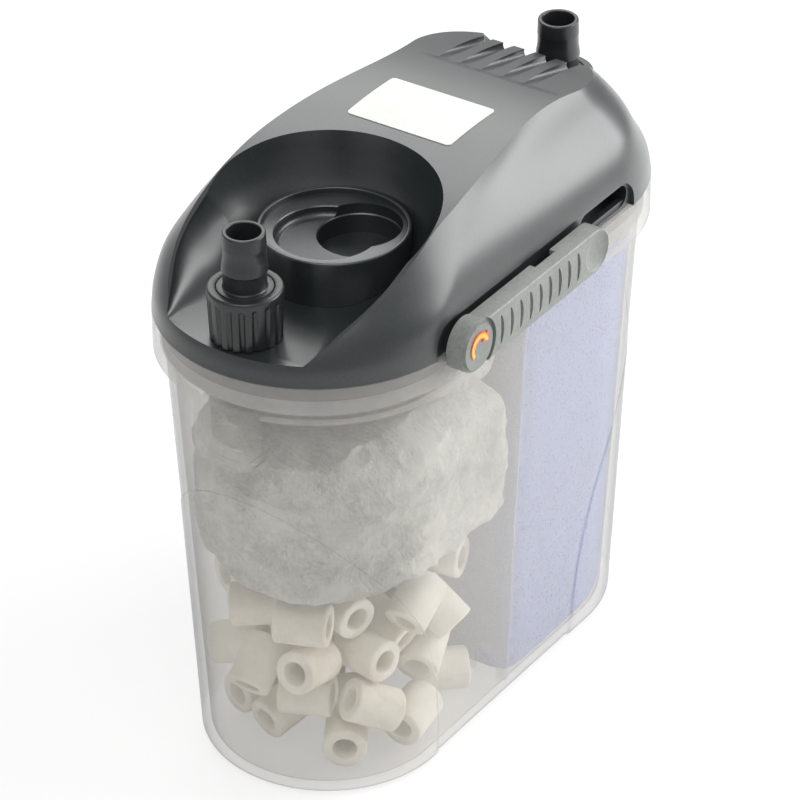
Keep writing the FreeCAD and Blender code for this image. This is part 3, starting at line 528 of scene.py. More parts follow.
class NodeSet:
    """Nodes of one material or of the world."""

    def __init__(self, owner: bpy.types.Material | bpy.types.World) -> None:
        """Clears the owner's nodes.

        Args:
            owner: The material or world that the nodes belong to.
        """
        owner.use_nodes = True
        self.owner = owner
        self.tree = owner.node_tree
        self.tree.nodes.clear()

    @classmethod
    def named(cls, name: str) -> "NodeSet":
        """Nodes of a new material."""
        return cls(bpy.data.materials.new(name))

    def add(self, kind: str, settings: dict, inputs: dict, output: int | str = 0) -> Value:
        """Add any node.

        Args:
            kind: Blender's type of the node.
            settings: Attributes set first. "stops" fills a colour ramp.
            inputs: Values or links by socket name or number.
            output: Which socket the result reads.
        Returns:
            The node's output.
        """
        node = self.tree.nodes.new(kind)
        for name, value in settings.items():
            if name == "stops":
                ramp = node.color_ramp
                while len(ramp.elements) < len(value):
                    ramp.elements.new(0.5)
                for element, (place, colour) in zip(ramp.elements, value):
                    element.position = place
                    element.color = colour
            else:
                setattr(node, name, value)
        for name, value in inputs.items():
            if isinstance(value, Value):
                self.tree.links.new(value.socket, node.inputs[name])
            elif isinstance(value, tuple) and len(value) == 3 and node.inputs[name].type == "RGBA":
                node.inputs[name].default_value = (*value, 1.0)
            else:
                node.inputs[name].default_value = value
        return Value(self, node.outputs[output])

    def place(self) -> Value:
        """Object coordinates."""
        return self.add("ShaderNodeTexCoord", {}, {}, "Object")

    def part(self, vector: Value, axis: str) -> Value:
        """One component of a vector."""
        return self.add("ShaderNodeSeparateXYZ", {}, {0: vector}, axis)

    def stretched(self, scale: tuple, turn: tuple = (0.0, 0.0, 0.0)) -> Value:
        """Object coordinates turned and stretched."""
        return self.add("ShaderNodeMapping", {}, {0: self.place(), 2: turn, 3: scale})

    def noise(self, scale: float, detail: float = 3.0, rough: float = 0.55,
              vector: Value | None = None, twist: float = 0.0) -> Value:
        """Noise over the object.

        Args:
            scale: Cells to the metre.
            detail: How many finer layers are added.
            rough: How strong the finer layers are.
            vector: Coordinates, if they aren't the object's own.
            twist: How far the pattern is distorted.
        Returns:
            Values round a half.
        """
        inputs = {"Vector": self.place() if vector is None else vector, "Scale": scale, "Detail": detail,
                  "Roughness": rough, "Distortion": twist}
        return self.add("ShaderNodeTexNoise", {}, inputs, "Fac")

    def cells(self, scale: float) -> Value:
        """Distance to the nearest point of a cell pattern over the object."""
        inputs = {"Vector": self.place(), "Scale": scale}
        return self.add("ShaderNodeTexVoronoi", {"feature": "F1"}, inputs, "Distance")

    def blend(self, factor: object, first: object, second: object) -> Value:
        """Mix of two colours."""
        settings = {"data_type": "RGBA"}
        return self.add("ShaderNodeMix", settings, {0: factor, 6: first, 7: second}, 2)

    def bump(self, height: Value, depth: float) -> Value:
        """Normal from a height, its depth in metres."""
        return self.add("ShaderNodeBump", {}, {"Height": height, "Distance": depth, "Strength": 1.0})

    def close(self, shader: Value, kind: str) -> bpy.types.ID:
        """Join a shader to a new output node.

        Args:
            shader: The shader's output.
            kind: Blender's type of the output node.
        Returns:
            The material or world that owns the nodes.
        """
        output = self.tree.nodes.new(kind)
        self.tree.links.new(shader.socket, output.inputs["Surface"])
        return self.owner

    def finish(self, inputs: dict) -> bpy.types.Material:
        """Principled shader with those inputs, joined to the output."""
        return self.close(self.add("ShaderNodeBsdfPrincipled", {}, inputs), "ShaderNodeOutputMaterial")


def channel(value: int) -> float:
    """One channel as the shader takes it: linear near black, else a power of 2.4."""
    share = value / 255
    return share / 12.92 if share <= 0.04045 else ((share + 0.055) / 1.055) ** 2.4


def linear(red: int, green: int, blue: int) -> Colour:
    """Colour as the shader takes it, from the usual 0 to 255 values."""
    return channel(red), channel(green), channel(blue)


# Finishes


@dataclass(frozen=True)
class Finish:
    """What every finish has: a name and its main colour."""

    name: str
    colour: Colour


@dataclass(frozen=True)
class MouldedPlastic(Finish):
    """Opaque moulded plastic with a fine grain and slightly uneven gloss."""

    shade: Colour
    roughness: float
    grain: float = 1600.0
    grain_depth: float = 0.00004
    mottle: float = 0.06
    coat: float = 0.0

    def material(self) -> bpy.types.Material:
        """Grain from fine noise, colour between two shades, roughness that drifts."""
        nodes = NodeSet.named(self.name)
        fine = nodes.noise(self.grain, 2.0)
        broad = nodes.noise(60.0, 4.0)
        speck = nodes.noise(self.grain * 0.6, 1.0)
        share = (broad * 0.6 + speck * 0.4).between(0.35, 0.68)
        rough = self.roughness + (broad - 0.5) * self.mottle * 2 + (fine - 0.5) * self.mottle
        return nodes.finish({
            "Base Color": nodes.blend(share, self.shade, self.colour),
            "Roughness": rough,
            "Normal": nodes.bump(fine, self.grain_depth),
            "Coat Weight": self.coat,
            "Coat Roughness": 0.25,
        })


@dataclass(frozen=True)
class SmokyClear(Finish):
    """Clear plastic seen as a smoky film that thickens at grazing angles."""

    rim: Colour
    film: float
    edge: float
    roughness: float = 0.12

    def material(self) -> bpy.types.Material:
        """Alpha from a constant film plus the edge share of a facing weight."""
        nodes = NodeSet.named(self.name)
        facing = nodes.add("ShaderNodeLayerWeight", {}, {"Blend": 0.35}, "Facing")
        haze = nodes.noise(25.0, 3.0)
        alpha = self.film + facing**2.2 * self.edge + (haze - 0.5) * 0.04
        return nodes.finish({
            "Base Color": nodes.blend((facing**2.0).between(0.16, 0.6), self.colour, self.rim),
            "Roughness": self.roughness + haze * 0.08,
            "Alpha": alpha,
            "IOR": 1.49,
        })


@dataclass(frozen=True)
class Ceramic(Finish):
    """Unglazed sintered ceramic, chalky and pitted."""

    shade: Colour

    def material(self) -> bpy.types.Material:
        """Cream with painted shade in its pits and a broad drift."""
        nodes = NodeSet.named(self.name)
        fine = nodes.noise(900.0, 5.0, 0.65)
        broad = nodes.noise(70.0, 3.0)
        # Pits: the bump dents them and the colour darkens there, as painted shade.
        pits = nodes.cells(1400.0).between(0.05, 0.32)
        share = (broad * 0.7 + fine * 0.3).between(0.3, 0.62) * (0.75 + pits * 0.25)
        return nodes.finish({
            "Base Color": nodes.blend(share, self.shade, self.colour),
            "Roughness": 0.9,
            "Normal": nodes.bump(fine * 0.6 + pits * 0.4, 0.00022),
        })


@dataclass(frozen=True)
class Fleece(Finish):
    """Bonded polyester fleece: matted fibres, soft and matt."""

    shade: Colour

    def material(self) -> bpy.types.Material:
        """Stretched noise for the fibres over broad shading."""
        nodes = NodeSet.named(self.name)
        turned = nodes.stretched((1.0, 3.2, 1.0), (0.5, 0.3, 0.8))
        fibres = nodes.noise(420.0, 6.0, 0.72, turned, 1.2)
        broad = nodes.noise(55.0, 4.0)
        share = (broad * 0.5 + fibres * 0.5).between(0.36, 0.6)
        return nodes.finish({
            "Base Color": nodes.blend(share, self.shade, self.colour),
            "Roughness": 1.0,
            "Normal": nodes.bump(fibres, 0.0011),
            "Sheen Weight": 0.25,
            "Sheen Roughness": 0.6,
        })


@dataclass(frozen=True)
class OpenFoam(Finish):
    """Open-cell filter foam."""

    # Colour of the pores: painted shade in the foam's holes.
    pore_shade: Colour

    def material(self) -> bpy.types.Material:
        """Painted shade in the pores between pale webs, from a cell pattern in two sizes."""
        nodes = NodeSet.named(self.name)
        large = nodes.cells(620.0)
        small = nodes.cells(1500.0)
        # Low web values are the pores, which get the painted shade.
        web = (large * 0.6 + small * 0.4).between(0.18, 0.5)
        broad = nodes.noise(30.0, 3.0)
        return nodes.finish({
            "Base Color": nodes.blend(web * 0.8 + broad * 0.2, self.pore_shade, self.colour),
            "Roughness": 0.95,
            "Normal": nodes.bump(web, 0.0005),
            "Sheen Weight": 0.15,
        })


@dataclass(frozen=True)
class Metal(Finish):
    """Turned or drawn metal with fine scratches."""

    roughness: float

    def material(self) -> bpy.types.Material:
        """Stretched noise in roughness and bump."""
        nodes = NodeSet.named(self.name)
        lines = nodes.noise(300.0, 4.0, 0.5, nodes.stretched((1.0, 1.0, 12.0)))
        return nodes.finish({
            "Base Color": self.colour,
            "Metallic": 1.0,
            "Roughness": self.roughness + (lines - 0.5) * 0.2,
            "Normal": nodes.bump(lines, 0.00002),
        })


@dataclass(frozen=True)
class PaintedArrow(Finish):
    """Orange moulded arrow with a painted highlight: its colour is paler towards the middle of its band."""

    # Paler colour along the middle of the band: a painted highlight.
    middle: Colour
    centre_y: float
    centre_z: float
    radius: float

    def material(self) -> bpy.types.Material:
        """Colour from the distance to the pivot, paler along the band's middle as a painted highlight."""
        nodes = NodeSet.named(self.name)
        place = nodes.place()
        across = nodes.part(place, "Y") - self.centre_y * MM
        up = nodes.part(place, "Z") - self.centre_z * MM
        distance = (across * across + up * up) ** 0.5
        # Distance from the band's middle line, which sets the painted highlight.
        edge = ((distance - self.radius * MM) * 1000.0) ** 2.0
        fine = nodes.noise(1500.0, 2.0)
        return nodes.finish({
            "Base Color": nodes.blend(edge.between(0.0, 1.1), self.middle, self.colour),
            "Roughness": 0.45 + (fine - 0.5) * 0.1,
            "Normal": nodes.bump(fine, 0.00003),
        })


HEAD_SATIN = MouldedPlastic("head_satin", linear(36, 41, 42), linear(29, 34, 35), 0.36,
                            grain=1500, grain_depth=0.000025, mottle=0.05, coat=0.5)
# Crown and deck: the grain is real, the paler grey is painted sheen of the light from above.
HEAD_GRAIN_AND_PAINTED_SHEEN = MouldedPlastic("head_grain_and_painted_sheen", linear(98, 101, 100), linear(50, 54, 55), 0.6,
                              grain=1000, grain_depth=0.00022, mottle=0.08)
LEVER_SATIN = MouldedPlastic("lever_satin", linear(126, 129, 124), linear(110, 114, 110), 0.42,
                             grain=1500, grain_depth=0.00003, mottle=0.05)
NOZZLE_BLACK = MouldedPlastic("nozzle_black", linear(36, 39, 40), linear(27, 30, 31), 0.33,
                              grain=1500, grain_depth=0.00002, mottle=0.05)
INNER_GREY = MouldedPlastic("inner_grey", linear(96, 98, 100), linear(80, 82, 84), 0.5)
IMPELLER_BLUE = MouldedPlastic("impeller_blue", linear(60, 86, 130), linear(46, 70, 110), 0.4)
MAGNET_BLACK = MouldedPlastic("magnet_black", linear(36, 35, 35), linear(26, 25, 25), 0.6,
                              grain=900, grain_depth=0.0001)
RUBBER_BLACK = MouldedPlastic("rubber_black", linear(32, 32, 33), linear(24, 24, 25), 0.78,
                              grain=1200, grain_depth=0.00008)
SILICONE_GREY = MouldedPlastic("silicone_grey", linear(150, 152, 152), linear(128, 130, 131), 0.6,
                               grain=900, grain_depth=0.00005)
LABEL_WHITE = MouldedPlastic("label_white", linear(212, 214, 209), linear(205, 207, 202), 0.55,
                             grain=900, grain_depth=0.00001, mottle=0.04)
DIVIDER_CLEAR = SmokyClear("divider_clear", linear(196, 202, 214), linear(120, 124, 132), 0.2, 0.3)
CANISTER_CLEAR = SmokyClear("canister_clear", linear(200, 197, 191), linear(60, 62, 60), 0.2, 0.66)
CERAMIC_CREAM = Ceramic("ceramic_cream", linear(250, 245, 233), linear(228, 219, 202))
FLEECE_WHITE = Fleece("fleece_white", linear(232, 231, 224), linear(168, 172, 166))
FOAM_BLUE = OpenFoam("foam_blue", linear(140, 158, 212), linear(104, 123, 188))
STEEL = Metal("steel_bright", linear(190, 190, 192), 0.28)
COPPER = Metal("copper_wire", linear(190, 112, 70), 0.35)
SILICON_STEEL = Metal("core_steel", linear(120, 122, 126), 0.45)


# Sub-assemblies


class Finishes:
    """Materials made once and shared by name."""

    def __init__(self) -> None:
        """Starts empty."""
        self.made: dict[str, bpy.types.Material] = {}

    def of(self, finish: Finish) -> bpy.types.Material:
        """The material of a finish, made at its first use.

        Args:
            finish: The finish.
        Returns:
            Its material.
        """
        if finish.name not in self.made:
            self.made[finish.name] = finish.material()
        return self.made[finish.name]


def place(piece: Piece, body: Body, slot: str, finishes: Finishes, *looks: Finish) -> None:
    """Dress a finished piece and tell the frame what it rides on and which CAD node it stands for.

    Args:
        piece: The piece, which has the name of its CAD node.
        body: The CAD body that it moves with.
        slot: Not used.
        finishes: The shared materials.
        looks: Finishes by the numbers of its faces' materials.
    """
    piece.data.materials.clear()
    for look in looks:
        piece.data.materials.append(finishes.of(look))
    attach(piece, body.value)
    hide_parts(piece.name.split(".")[0])
    LOG.info("%s rides on %s with %d faces", piece.name, body.value, len(piece.data.polygons))


@dataclass
class HeadShell:
    """Moulded hood over the pump, with its bowl, boss, grooves, lever pockets and rear notch."""

    # Outlines: height, front width, front centre, front reach, rear width, rear reach
    levels: tuple = (
        (165.3, 52.5, 50.5, 52.5, 52.5, 52.5), (172.5, 52.0, 50.5, 50.8, 51.9, 49.5),
        (180.0, 50.4, 50.5, 45.3, 50.0, 43.5), (188.0, 47.4, 42.0, 48.3, 46.1, 38.8),
        (196.0, 43.0, 35.0, 47.5, 39.2, 32.5), (202.0, 39.5, 28.0, 49.5, 32.2, 26.5),
        (209.0, 35.5, 20.0, 46.0, 27.0, 20.0),
    )
    # Crown line: y and height
    crown: tuple = (
        (-97.0, 172.5), (-92.0, 175.4), (-80.0, 183.4), (-68.0, 189.3), (-56.0, 194.7), (-44.0, 199.5),
        (-32.0, 202.3), (-14.0, 204.7), (4.0, 206.0), (28.0, 205.4), (52.0, 202.6), (74.0, 198.2),
        (92.0, 191.5), (108.0, 183.0),
    )
    block_half: float = 70.0
    block_y: tuple = (-125.0, 108.0)
    block_low: float = 150.0
    straight: float = 50.5
    wall: float = 2.8
    deck: float = 172.5
    above: float = 230.0
    outside: float = 75.0
    # Bowl: radius and height up its wall
    bowl_y: float = -51.5
    bowl: tuple = ((16.0, 172.6), (24.0, 175.4), (31.0, 180.6), (36.0, 188.0), (38.8, 196.0), (40.6, 205.0))
    # Flare: y, half width of the floor, x and z of the wall's middle, x and z of its edge
    flare: tuple = (
        (-110.0, 29.0, 29.6, 172.9, 30.2, 173.6), (-97.5, 25.6, 26.2, 172.9, 26.8, 173.6),
        (-87.0, 24.6, 28.6, 174.6, 30.9, 178.6), (-78.0, 21.0, 29.6, 176.2, 35.2, 184.4),
        (-69.0, 16.0, 29.5, 177.2, 37.7, 188.8), (-60.0, 14.5, 30.5, 178.6, 38.6, 192.4),
        (-51.5, 14.0, 31.0, 180.6, 38.9, 197.0),
    )
    lip: float = 0.7
    # Boss: x, y, radius, top. Dish: x, y, radius, depth. Well: x, y, radius, floor
    boss: tuple = (0.0, -41.0, 24.5, 188.3)
    dish: tuple = (-1.0, -44.0, 16.5, 3.6)
    well: tuple = (5.3, -34.5, 13.4, 176.0)
    boss_foot: float = 171.0
    boss_gap: float = 0.1
    boss_wall: float = 1.5
    boss_ledge: float = 1.8
    boss_round: float = 0.7
    ledge_round: float = 0.5
    dish_bend: float = 2.0
    chamfer: float = 0.35
    # Pocket and recess: front, rear, low, high, x of the floor
    pocket: tuple = (-60.0, 55.0, 160.0, 176.0, 50.6)
    pocket_corner: float = 7.9
    recess: tuple = (24.0, 52.5, 166.6, 174.6, 43.0)
    recess_corner: float = 3.9
    notch_front: float = 73.0
    notch_rear: float = 140.0
    notch_half: float = 21.0
    notch_floor: float = 165.9
    notch_top: float = 220.0
    notch_corner: float = 6.0
    grooves: int = 5
    groove_pitch: float = 8.25
    groove_radius: float = 2.2
    groove_start: float = 42.5
    groove_end: float = 74.0
    groove_depth: float = 3.0
    # Stubs: y and top. Posts: x and y
    stubs: tuple = ((-89.0, 185.3), (90.5, 178.5))
    stub_radius: float = 10.0
    stub_foot: float = 165.3
    bore_radius: float = 6.0
    bore_foot: float = 160.8
    posts: tuple = ((39.0, -24.0), (36.0, 62.0), (-39.0, 24.0), (-36.0, -62.0))
    post_radius: float = 4.0
    post_z: tuple = (162.8, 166.3)
    screw_radius: float = 1.6
    screw_z: tuple = (159.0, 171.2)
    # Motor's room: two corners of its plan, low, high
    motor: tuple = ((-26.0, -7.5), (26.0, 46.0), 164.3, 196.6)
    motor_corner: float = 4.0
    # Pin: y, z, radius. Gland: x, z, radius
    pin: tuple = (-48.5, 167.2, 1.6)
    pin_x: tuple = (46.5, 70.0)
    gland: tuple = (-9.5, 180.0, 3.6)
    gland_y: tuple = (45.0, 93.0)
    skirt_outer: float = 50.0
    skirt_inner: float = 48.0
    skirt_z: tuple = (159.2, 168.3)
    shelf_radius: float = 49.0
    shelf_low: float = 163.0
    label_width: float = 39.5
    label_length: float = 27.0
    label_y: float = 8.4
    label_thickness: float = 0.25
    label_corner: float = 1.5

    def crown_height(self, y: Array) -> Array:
        """Height of the crown line, level with the deck in front of it.

        Args:
            y: Places along Y.
        Returns:
            The heights there.
        """
        places, heights = zip(*self.crown)
        crown = through(places, heights, np.maximum(y, places[0]))
        return np.where(np.asarray(y) < places[0], self.deck, crown)

    def outline(self, level: Array) -> Array:
        """Outline at one level: half an ellipse at each end and a side that eases between their widths.

        Args:
            level: Front width, front centre, front reach, rear width and rear reach.
        Returns:
            X and Y round the hood.
        """
        front_width, front_centre, front_reach, rear_width, rear_reach = level
        turn = np.linspace(0, math.pi / 2, 56, endpoint=False)
        share = np.linspace(0, 1, 44, endpoint=False)
        front = np.c_[front_width * np.sin(turn), -front_centre - front_reach * np.cos(turn)]
        side = np.c_[front_width + (rear_width - front_width) * smooth(share),
                     -front_centre + (self.straight + front_centre) * share]
        turn = np.linspace(0, math.pi / 2, 57)
        rear = np.c_[rear_width * np.cos(turn), self.straight + rear_reach * np.sin(turn)]
        right = np.concatenate([front, side, rear])
        return np.concatenate([right, (right * (-1, 1))[-2:0:-1]])

    def hood(self) -> Piece:
        """Everything inside the outlines and under the crown line."""
        rows = np.asarray(self.levels)
        heights = np.linspace(rows[0, 0], rows[-1, 0], 56)
        shapes = through(rows[:, 0], rows[:, 1:], heights)
        outlines = [raised(self.outline(shape), z) for shape, z in zip(shapes, heights)]
        body = Solid.loft("head_shell", np.stack(outlines))
        xs = np.linspace(-self.block_half, self.block_half, 3)
        ys = np.linspace(*self.block_y, 320)
        block = Solid.height_block("crown_block", xs, ys, self.crown_height(ys), self.block_low)
        return Solid.join(body, [(Join.KEEP, block)])

    def bowl_tools(self) -> list[Piece]:
        """The bowl: a profile turned about its axis, and sections along Y that run it out onto the deck."""
        profile = np.asarray(self.bowl)
        wall = through(range(len(profile)), profile, np.linspace(0, len(profile) - 1, 40))
        turned = [(0.0, self.deck), (wall[0, 0], self.deck), *wall.tolist(),
                  (wall[-1, 0] + 0.3, self.above), (0.0, self.above)]
        rows = np.asarray(self.flare)
        ys = np.linspace(rows[0, 0], rows[-1, 0], 80)
        half, middle_x, middle_z, edge_x, edge_z = through(rows[:, 0], rows[:, 1:], ys).T[:, :, None]
        edge_x = edge_x - self.lip
        t = np.linspace(0, 1, 24)
        start, centre, end = (1 - t) * (1 - 2 * t), 4 * t * (1 - t), t * (2 * t - 1)
        wall_x = half * start + middle_x * centre + edge_x * end
        wall_z = self.deck * start + middle_z * centre + edge_z * end
        top = np.full_like(edge_x, self.above)
        xs = np.concatenate([wall_x, edge_x, -edge_x, -wall_x[:, ::-1]], axis=1)
        zs = np.concatenate([wall_z, top, top, wall_z[:, ::-1]], axis=1)
        grid = np.stack([xs, np.broadcast_to(ys[:, None], xs.shape), zs], -1)
        return [Solid.turned("bowl_round", turned, (0, self.bowl_y), 192), Solid.loft("bowl_flare", grid)]

    def notch(self) -> Piece:
        """Rear notch round the outlet nozzle."""
        near, far = (-self.notch_half, self.notch_front), (self.notch_half, self.notch_rear)
        plan = round_box(near, far, self.notch_corner, 16)
        return upright_loft("notch", plan, (self.notch_floor, self.notch_top))

    def hollow_tools(self) -> list[Piece]:
        """Bowl, rear notch, lever pockets, finger recesses and the room for the motor."""
        sides = []
        for opening, corner in ((self.pocket, self.pocket_corner), (self.recess, self.recess_corner)):
            front, rear, low, high, floor = opening
            sides.append(along_x(round_box((front, low), (rear, high), corner, 20), [floor, self.outside]))
        near, far, low, high = self.motor
        x, y, radius, _ = self.boss
        tools = [upright("socket", radius + self.boss_gap, self.boss_foot, self.above, x, y),
                 upright_loft("motor", round_box(near, far, self.motor_corner, 12), (low, high))]
        for rows in sides + [half_turn(rows) for rows in sides]:
            tools.append(Solid.loft("pocket", rows))
        return self.bowl_tools() + [self.notch()] + tools

    def groove_tools(self) -> list[Piece]:
        """Round bars that sink into the crown towards the notch, so that each groove starts in a point."""
        start_height, end_height = self.crown_height(np.array([self.groove_start, self.groove_end]))
        start_z = start_height + self.groove_radius + 0.2
        end_z = end_height + self.groove_radius - self.groove_depth
        run = np.array([0, self.groove_end - self.groove_start, end_z - start_z])
        tools = []
        for index in range(self.grooves):
            x = (index - (self.grooves - 1) / 2) * self.groove_pitch
            start = np.array([x, self.groove_start, start_z]) - run * 0.1
            tools.append(rod("groove", start, start + run * 1.4, self.groove_radius, 48))
        return tools

    def bowl_ring(self) -> Piece:
        """The round boss in the bowl: a drum with a rounded rim, a ledge, a dish and an eccentric well."""
        x, y, radius, top = self.boss
        bend = self.boss_round
        rim = arc(radius - bend, top - bend, bend, 0, 90, 7)
        drum = [(0.0, self.boss_foot), (radius, self.boss_foot), *rim.tolist(), (0.0, top)]
        piece = Solid.turned("bowl_ring", drum, (x, y), 160)
        ledge = top - self.boss_ledge
        inner = radius - self.boss_wall
        bend = self.ledge_round
        lips = arc(inner + bend, top - bend, bend, 180, 90, 7)
        floor = [(0.0, ledge), (inner, ledge), *lips.tolist(), (inner + bend, top + 1), (0.0, top + 1)]
        dish_x, dish_y, dish_radius, dish_depth = self.dish
        low = ledge - dish_depth
        bend = arc(dish_radius - self.dish_bend, low + self.dish_bend, self.dish_bend, -90, 0, 7)
        edge = dish_radius + self.chamfer
        dish = [(0.0, low), *bend.tolist(), (dish_radius, ledge - 0.3), (edge, ledge + 0.05),
                (edge, ledge + 1), (0.0, ledge + 1)]
        well_x, well_y, well_radius, well_low = self.well
        edge = well_radius + self.chamfer
        well = [(0.0, well_low), (well_radius, well_low), (well_radius, low - 0.4), (edge, low),
                (edge, ledge + 0.6), (0.0, ledge + 0.6)]
        Solid.cut(piece, [Solid.turned("ledge", floor, (x, y), 160),
                          Solid.turned("dish", dish, (dish_x, dish_y), 160),
                          Solid.turned("well", well, (well_x, well_y), 160)])
        Solid.shade(piece, 28)
        return piece

    def build(self) -> Piece:
        """Hood less its tools, with the stubs, posts, shelf and skirt."""
        shell = self.hood()
        Solid.cut(shell, self.hollow_tools() + self.groove_tools())
        added = [upright("stub", self.stub_radius, self.stub_foot, top, 0, y) for y, top in self.stubs]
        added += [upright("post", self.post_radius, *self.post_z, x, y) for x, y in self.posts]
        Solid.add(shell, added)
        Solid.add(shell, [self.skirt(), self.shelf()])
        Solid.cut(shell, self.hole_tools())
        self.sort_faces(shell)
        Solid.shade(shell, 28)
        return shell

    def hole_tools(self) -> list[Piece]:
        """Bores of the stubs, and the holes for screws, pins and the cable gland."""
        holes = [upright("bore", self.bore_radius, self.bore_foot, top + 1, 0, y) for y, top in self.stubs]
        holes += [upright("screw_hole", self.screw_radius, *self.screw_z, x, y) for x, y in self.posts]
        y, z, radius = self.pin
        near, far = self.pin_x
        holes += [rod("pin_hole", (s * near, s * y, z), (s * far, s * y, z), radius) for s in (-1, 1)]
        x, z, radius = self.gland
        near, far = self.gland_y
        return holes + [rod("gland_hole", (x, near, z), (x, far, z), radius)]

    def skirt(self) -> Piece:
        """Lower wall inside the canister's rim, open at the rear notch."""
        low, high = self.skirt_z
        outer = upright_loft("skirt", stadium(self.skirt_outer, self.straight), (low, high))
        inner = upright_loft("skirt_inner", stadium(self.skirt_inner, self.straight), (low - 1.2, high + 1.7))
        return Solid.cut(outer, [inner, self.notch()])

    def shelf(self) -> Piece:
        """Shelf under the rear nozzle."""
        heights = (self.shelf_low, self.notch_floor)
        block = upright_loft("shelf", stadium(self.shelf_radius, self.straight), heights)
        half = self.notch_half + self.wall
        area = box_points((-half, self.notch_front - self.wall, 150), (half, 130, 200))
        return Solid.join(block, [(Join.KEEP, Solid.loft("shelf_area", area))])

    def sort_faces(self, shell: Piece) -> None:
        """Give upward faces of crown and deck the finish with grain and painted sheen, by height and normal,
        and the rest the satin one.

        Args:
            shell: The shell, whose faces get the number of their finish.
        """
        count = len(shell.data.polygons)
        centres, normals = np.empty(count * 3), np.empty(count * 3)
        shell.data.polygons.foreach_get("center", centres)
        shell.data.polygons.foreach_get("normal", normals)
        centres, normals = centres.reshape(-1, 3) / MM, normals.reshape(-1, 3)
        on_crown = np.abs(centres[:, 2] - self.crown_height(centres[:, 1])) < 0.25
        on_deck = np.abs(centres[:, 2] - self.deck) < 0.05
        # Upward faces of crown and deck: real grain with a paler grey that is painted sheen.
        grain_and_painted_sheen_faces = (normals[:, 2] > 0.7) & (on_crown | on_deck)
        shell.data.polygons.foreach_set("material_index", grain_and_painted_sheen_faces.astype(np.int32))

    def label(self) -> Piece:
        """Bare plate on the crown: a grid carried up to the crown line and cut to round corners."""
        half_x, half_y = self.label_width / 2, self.label_length / 2
        xs = np.linspace(-half_x, half_x, 60)
        ys = np.linspace(self.label_y - half_y, self.label_y + half_y, 60)
        top = self.crown_height(ys)[None, :] + self.label_thickness
        low = top - self.label_thickness
        plate = Solid.height_block("rating_label", xs, ys, np.repeat(top, len(xs), 0), low)
        corners = round_box((-half_x, ys[0]), (half_x, ys[-1]), self.label_corner, 8)
        Solid.join(plate, [(Join.KEEP, upright_loft("label_area", corners, (195, 215)))])
        Solid.shade(plate)
        return plate


@dataclass
class Nozzle:
    """Barbed hose nozzle with its clamping nut."""

    y: float
    nut_top: float
    prefix: str
    nut_body: Body
    bore: float = 5.35
    height: float = 19.3
    # Flange: radius and height above the foot. Collar and shoulder: radius and height above the nut
    foot: float = 3.6
    flange: tuple = ((10.0, 0.0), (10.0, 2.2), (9.15, 2.2))
    collar: tuple = (
        (9.15, -0.5), (9.0, -0.12), (8.75, 0.0), (7.2, 0.0), (6.95, 0.25), (6.9, 0.6),
        (6.9, 5.6), (7.1, 5.9), (7.4, 6.2), (7.38, 6.7), (7.0, 9.6), (6.9, 10.2),
    )
    # Tip: radius and height from the mouth
    tip: tuple = ((6.85, -5.6), (6.95, -5.2), (6.93, -4.6))
    mouth: float = 6.8
    mouth_round: float = 0.5
    bore_round: float = 0.4
    nut_height: float = 17.4
    nut_radius: float = 11.4
    nut_swell: float = 0.7
    nut_round: float = 1.0
    nut_inside: tuple = ((9.5, 0.0), (9.3, -0.15), (9.3, -1.35), (10.06, -1.35))
    flutes: int = 18
    flute_depth: float = 0.75
    flute_top: float = 2.2
    flute_ease: float = 1.6

    def barb(self) -> Piece:
        """Profile of flange, collar, tube, shoulder and rounded mouth, turned about the nozzle's axis."""
        low, top = self.nut_top - self.foot, self.nut_top + self.height
        bend = self.mouth_round
        mouth = arc(self.mouth - bend, top - bend, bend, 0, 90, 6)
        bend = self.bore_round
        inside = arc(self.bore + bend, top - bend, bend, 90, 180, 6)
        profile = [(self.bore, low)]
        for base, pairs in ((low, self.flange), (self.nut_top, self.collar), (top, self.tip)):
            profile += [(radius, base + rise) for radius, rise in pairs]
        piece = Solid.turned(f"{self.prefix}_barb", profile + mouth.tolist() + inside.tolist(), (0, self.y))
        Solid.shade(piece, 38)
        return piece

    def nut(self) -> Piece:
        """Grid round the axis whose radius dips in a rounded valley at each flute, below a plain top band."""
        bottom = self.nut_top - self.nut_height
        turn = circle(self.flutes * 16)
        valley = np.clip(np.cos(turn * self.flutes), 0, 1) ** 0.8
        rise = np.linspace(0, 1, 40)
        outer_z = bottom + rise * (self.nut_height - self.nut_round)
        depth = self.flute_depth * smooth((self.nut_top - self.flute_top - outer_z) / self.flute_ease)
        outer_r = self.nut_radius + self.nut_swell * rise
        fluted = outer_r[:, None] - depth[:, None] * valley
        bend = np.linspace(0, math.pi / 2, 6)[1:]
        top_r = self.nut_radius + self.nut_swell * np.cos(bend)
        top_z = self.nut_top - self.nut_round + self.nut_round * np.sin(bend)
        inner_r, inner_z = np.array(self.nut_inside).T
        plain_r = np.concatenate([top_r, inner_r, inner_r[-1:]])
        all_r = np.concatenate([fluted, np.repeat(plain_r[:, None], len(turn), 1)])
        all_z = np.concatenate([outer_z, top_z, self.nut_top + inner_z, [bottom]])
        all_z = np.repeat(all_z[:, None], len(turn), 1)
        rows = np.stack([all_r * np.cos(turn), self.y + all_r * np.sin(turn), all_z], -1)
        piece = Solid.ring(f"{self.prefix}_nut", rows)
        Solid.shade(piece, 40)
        return piece


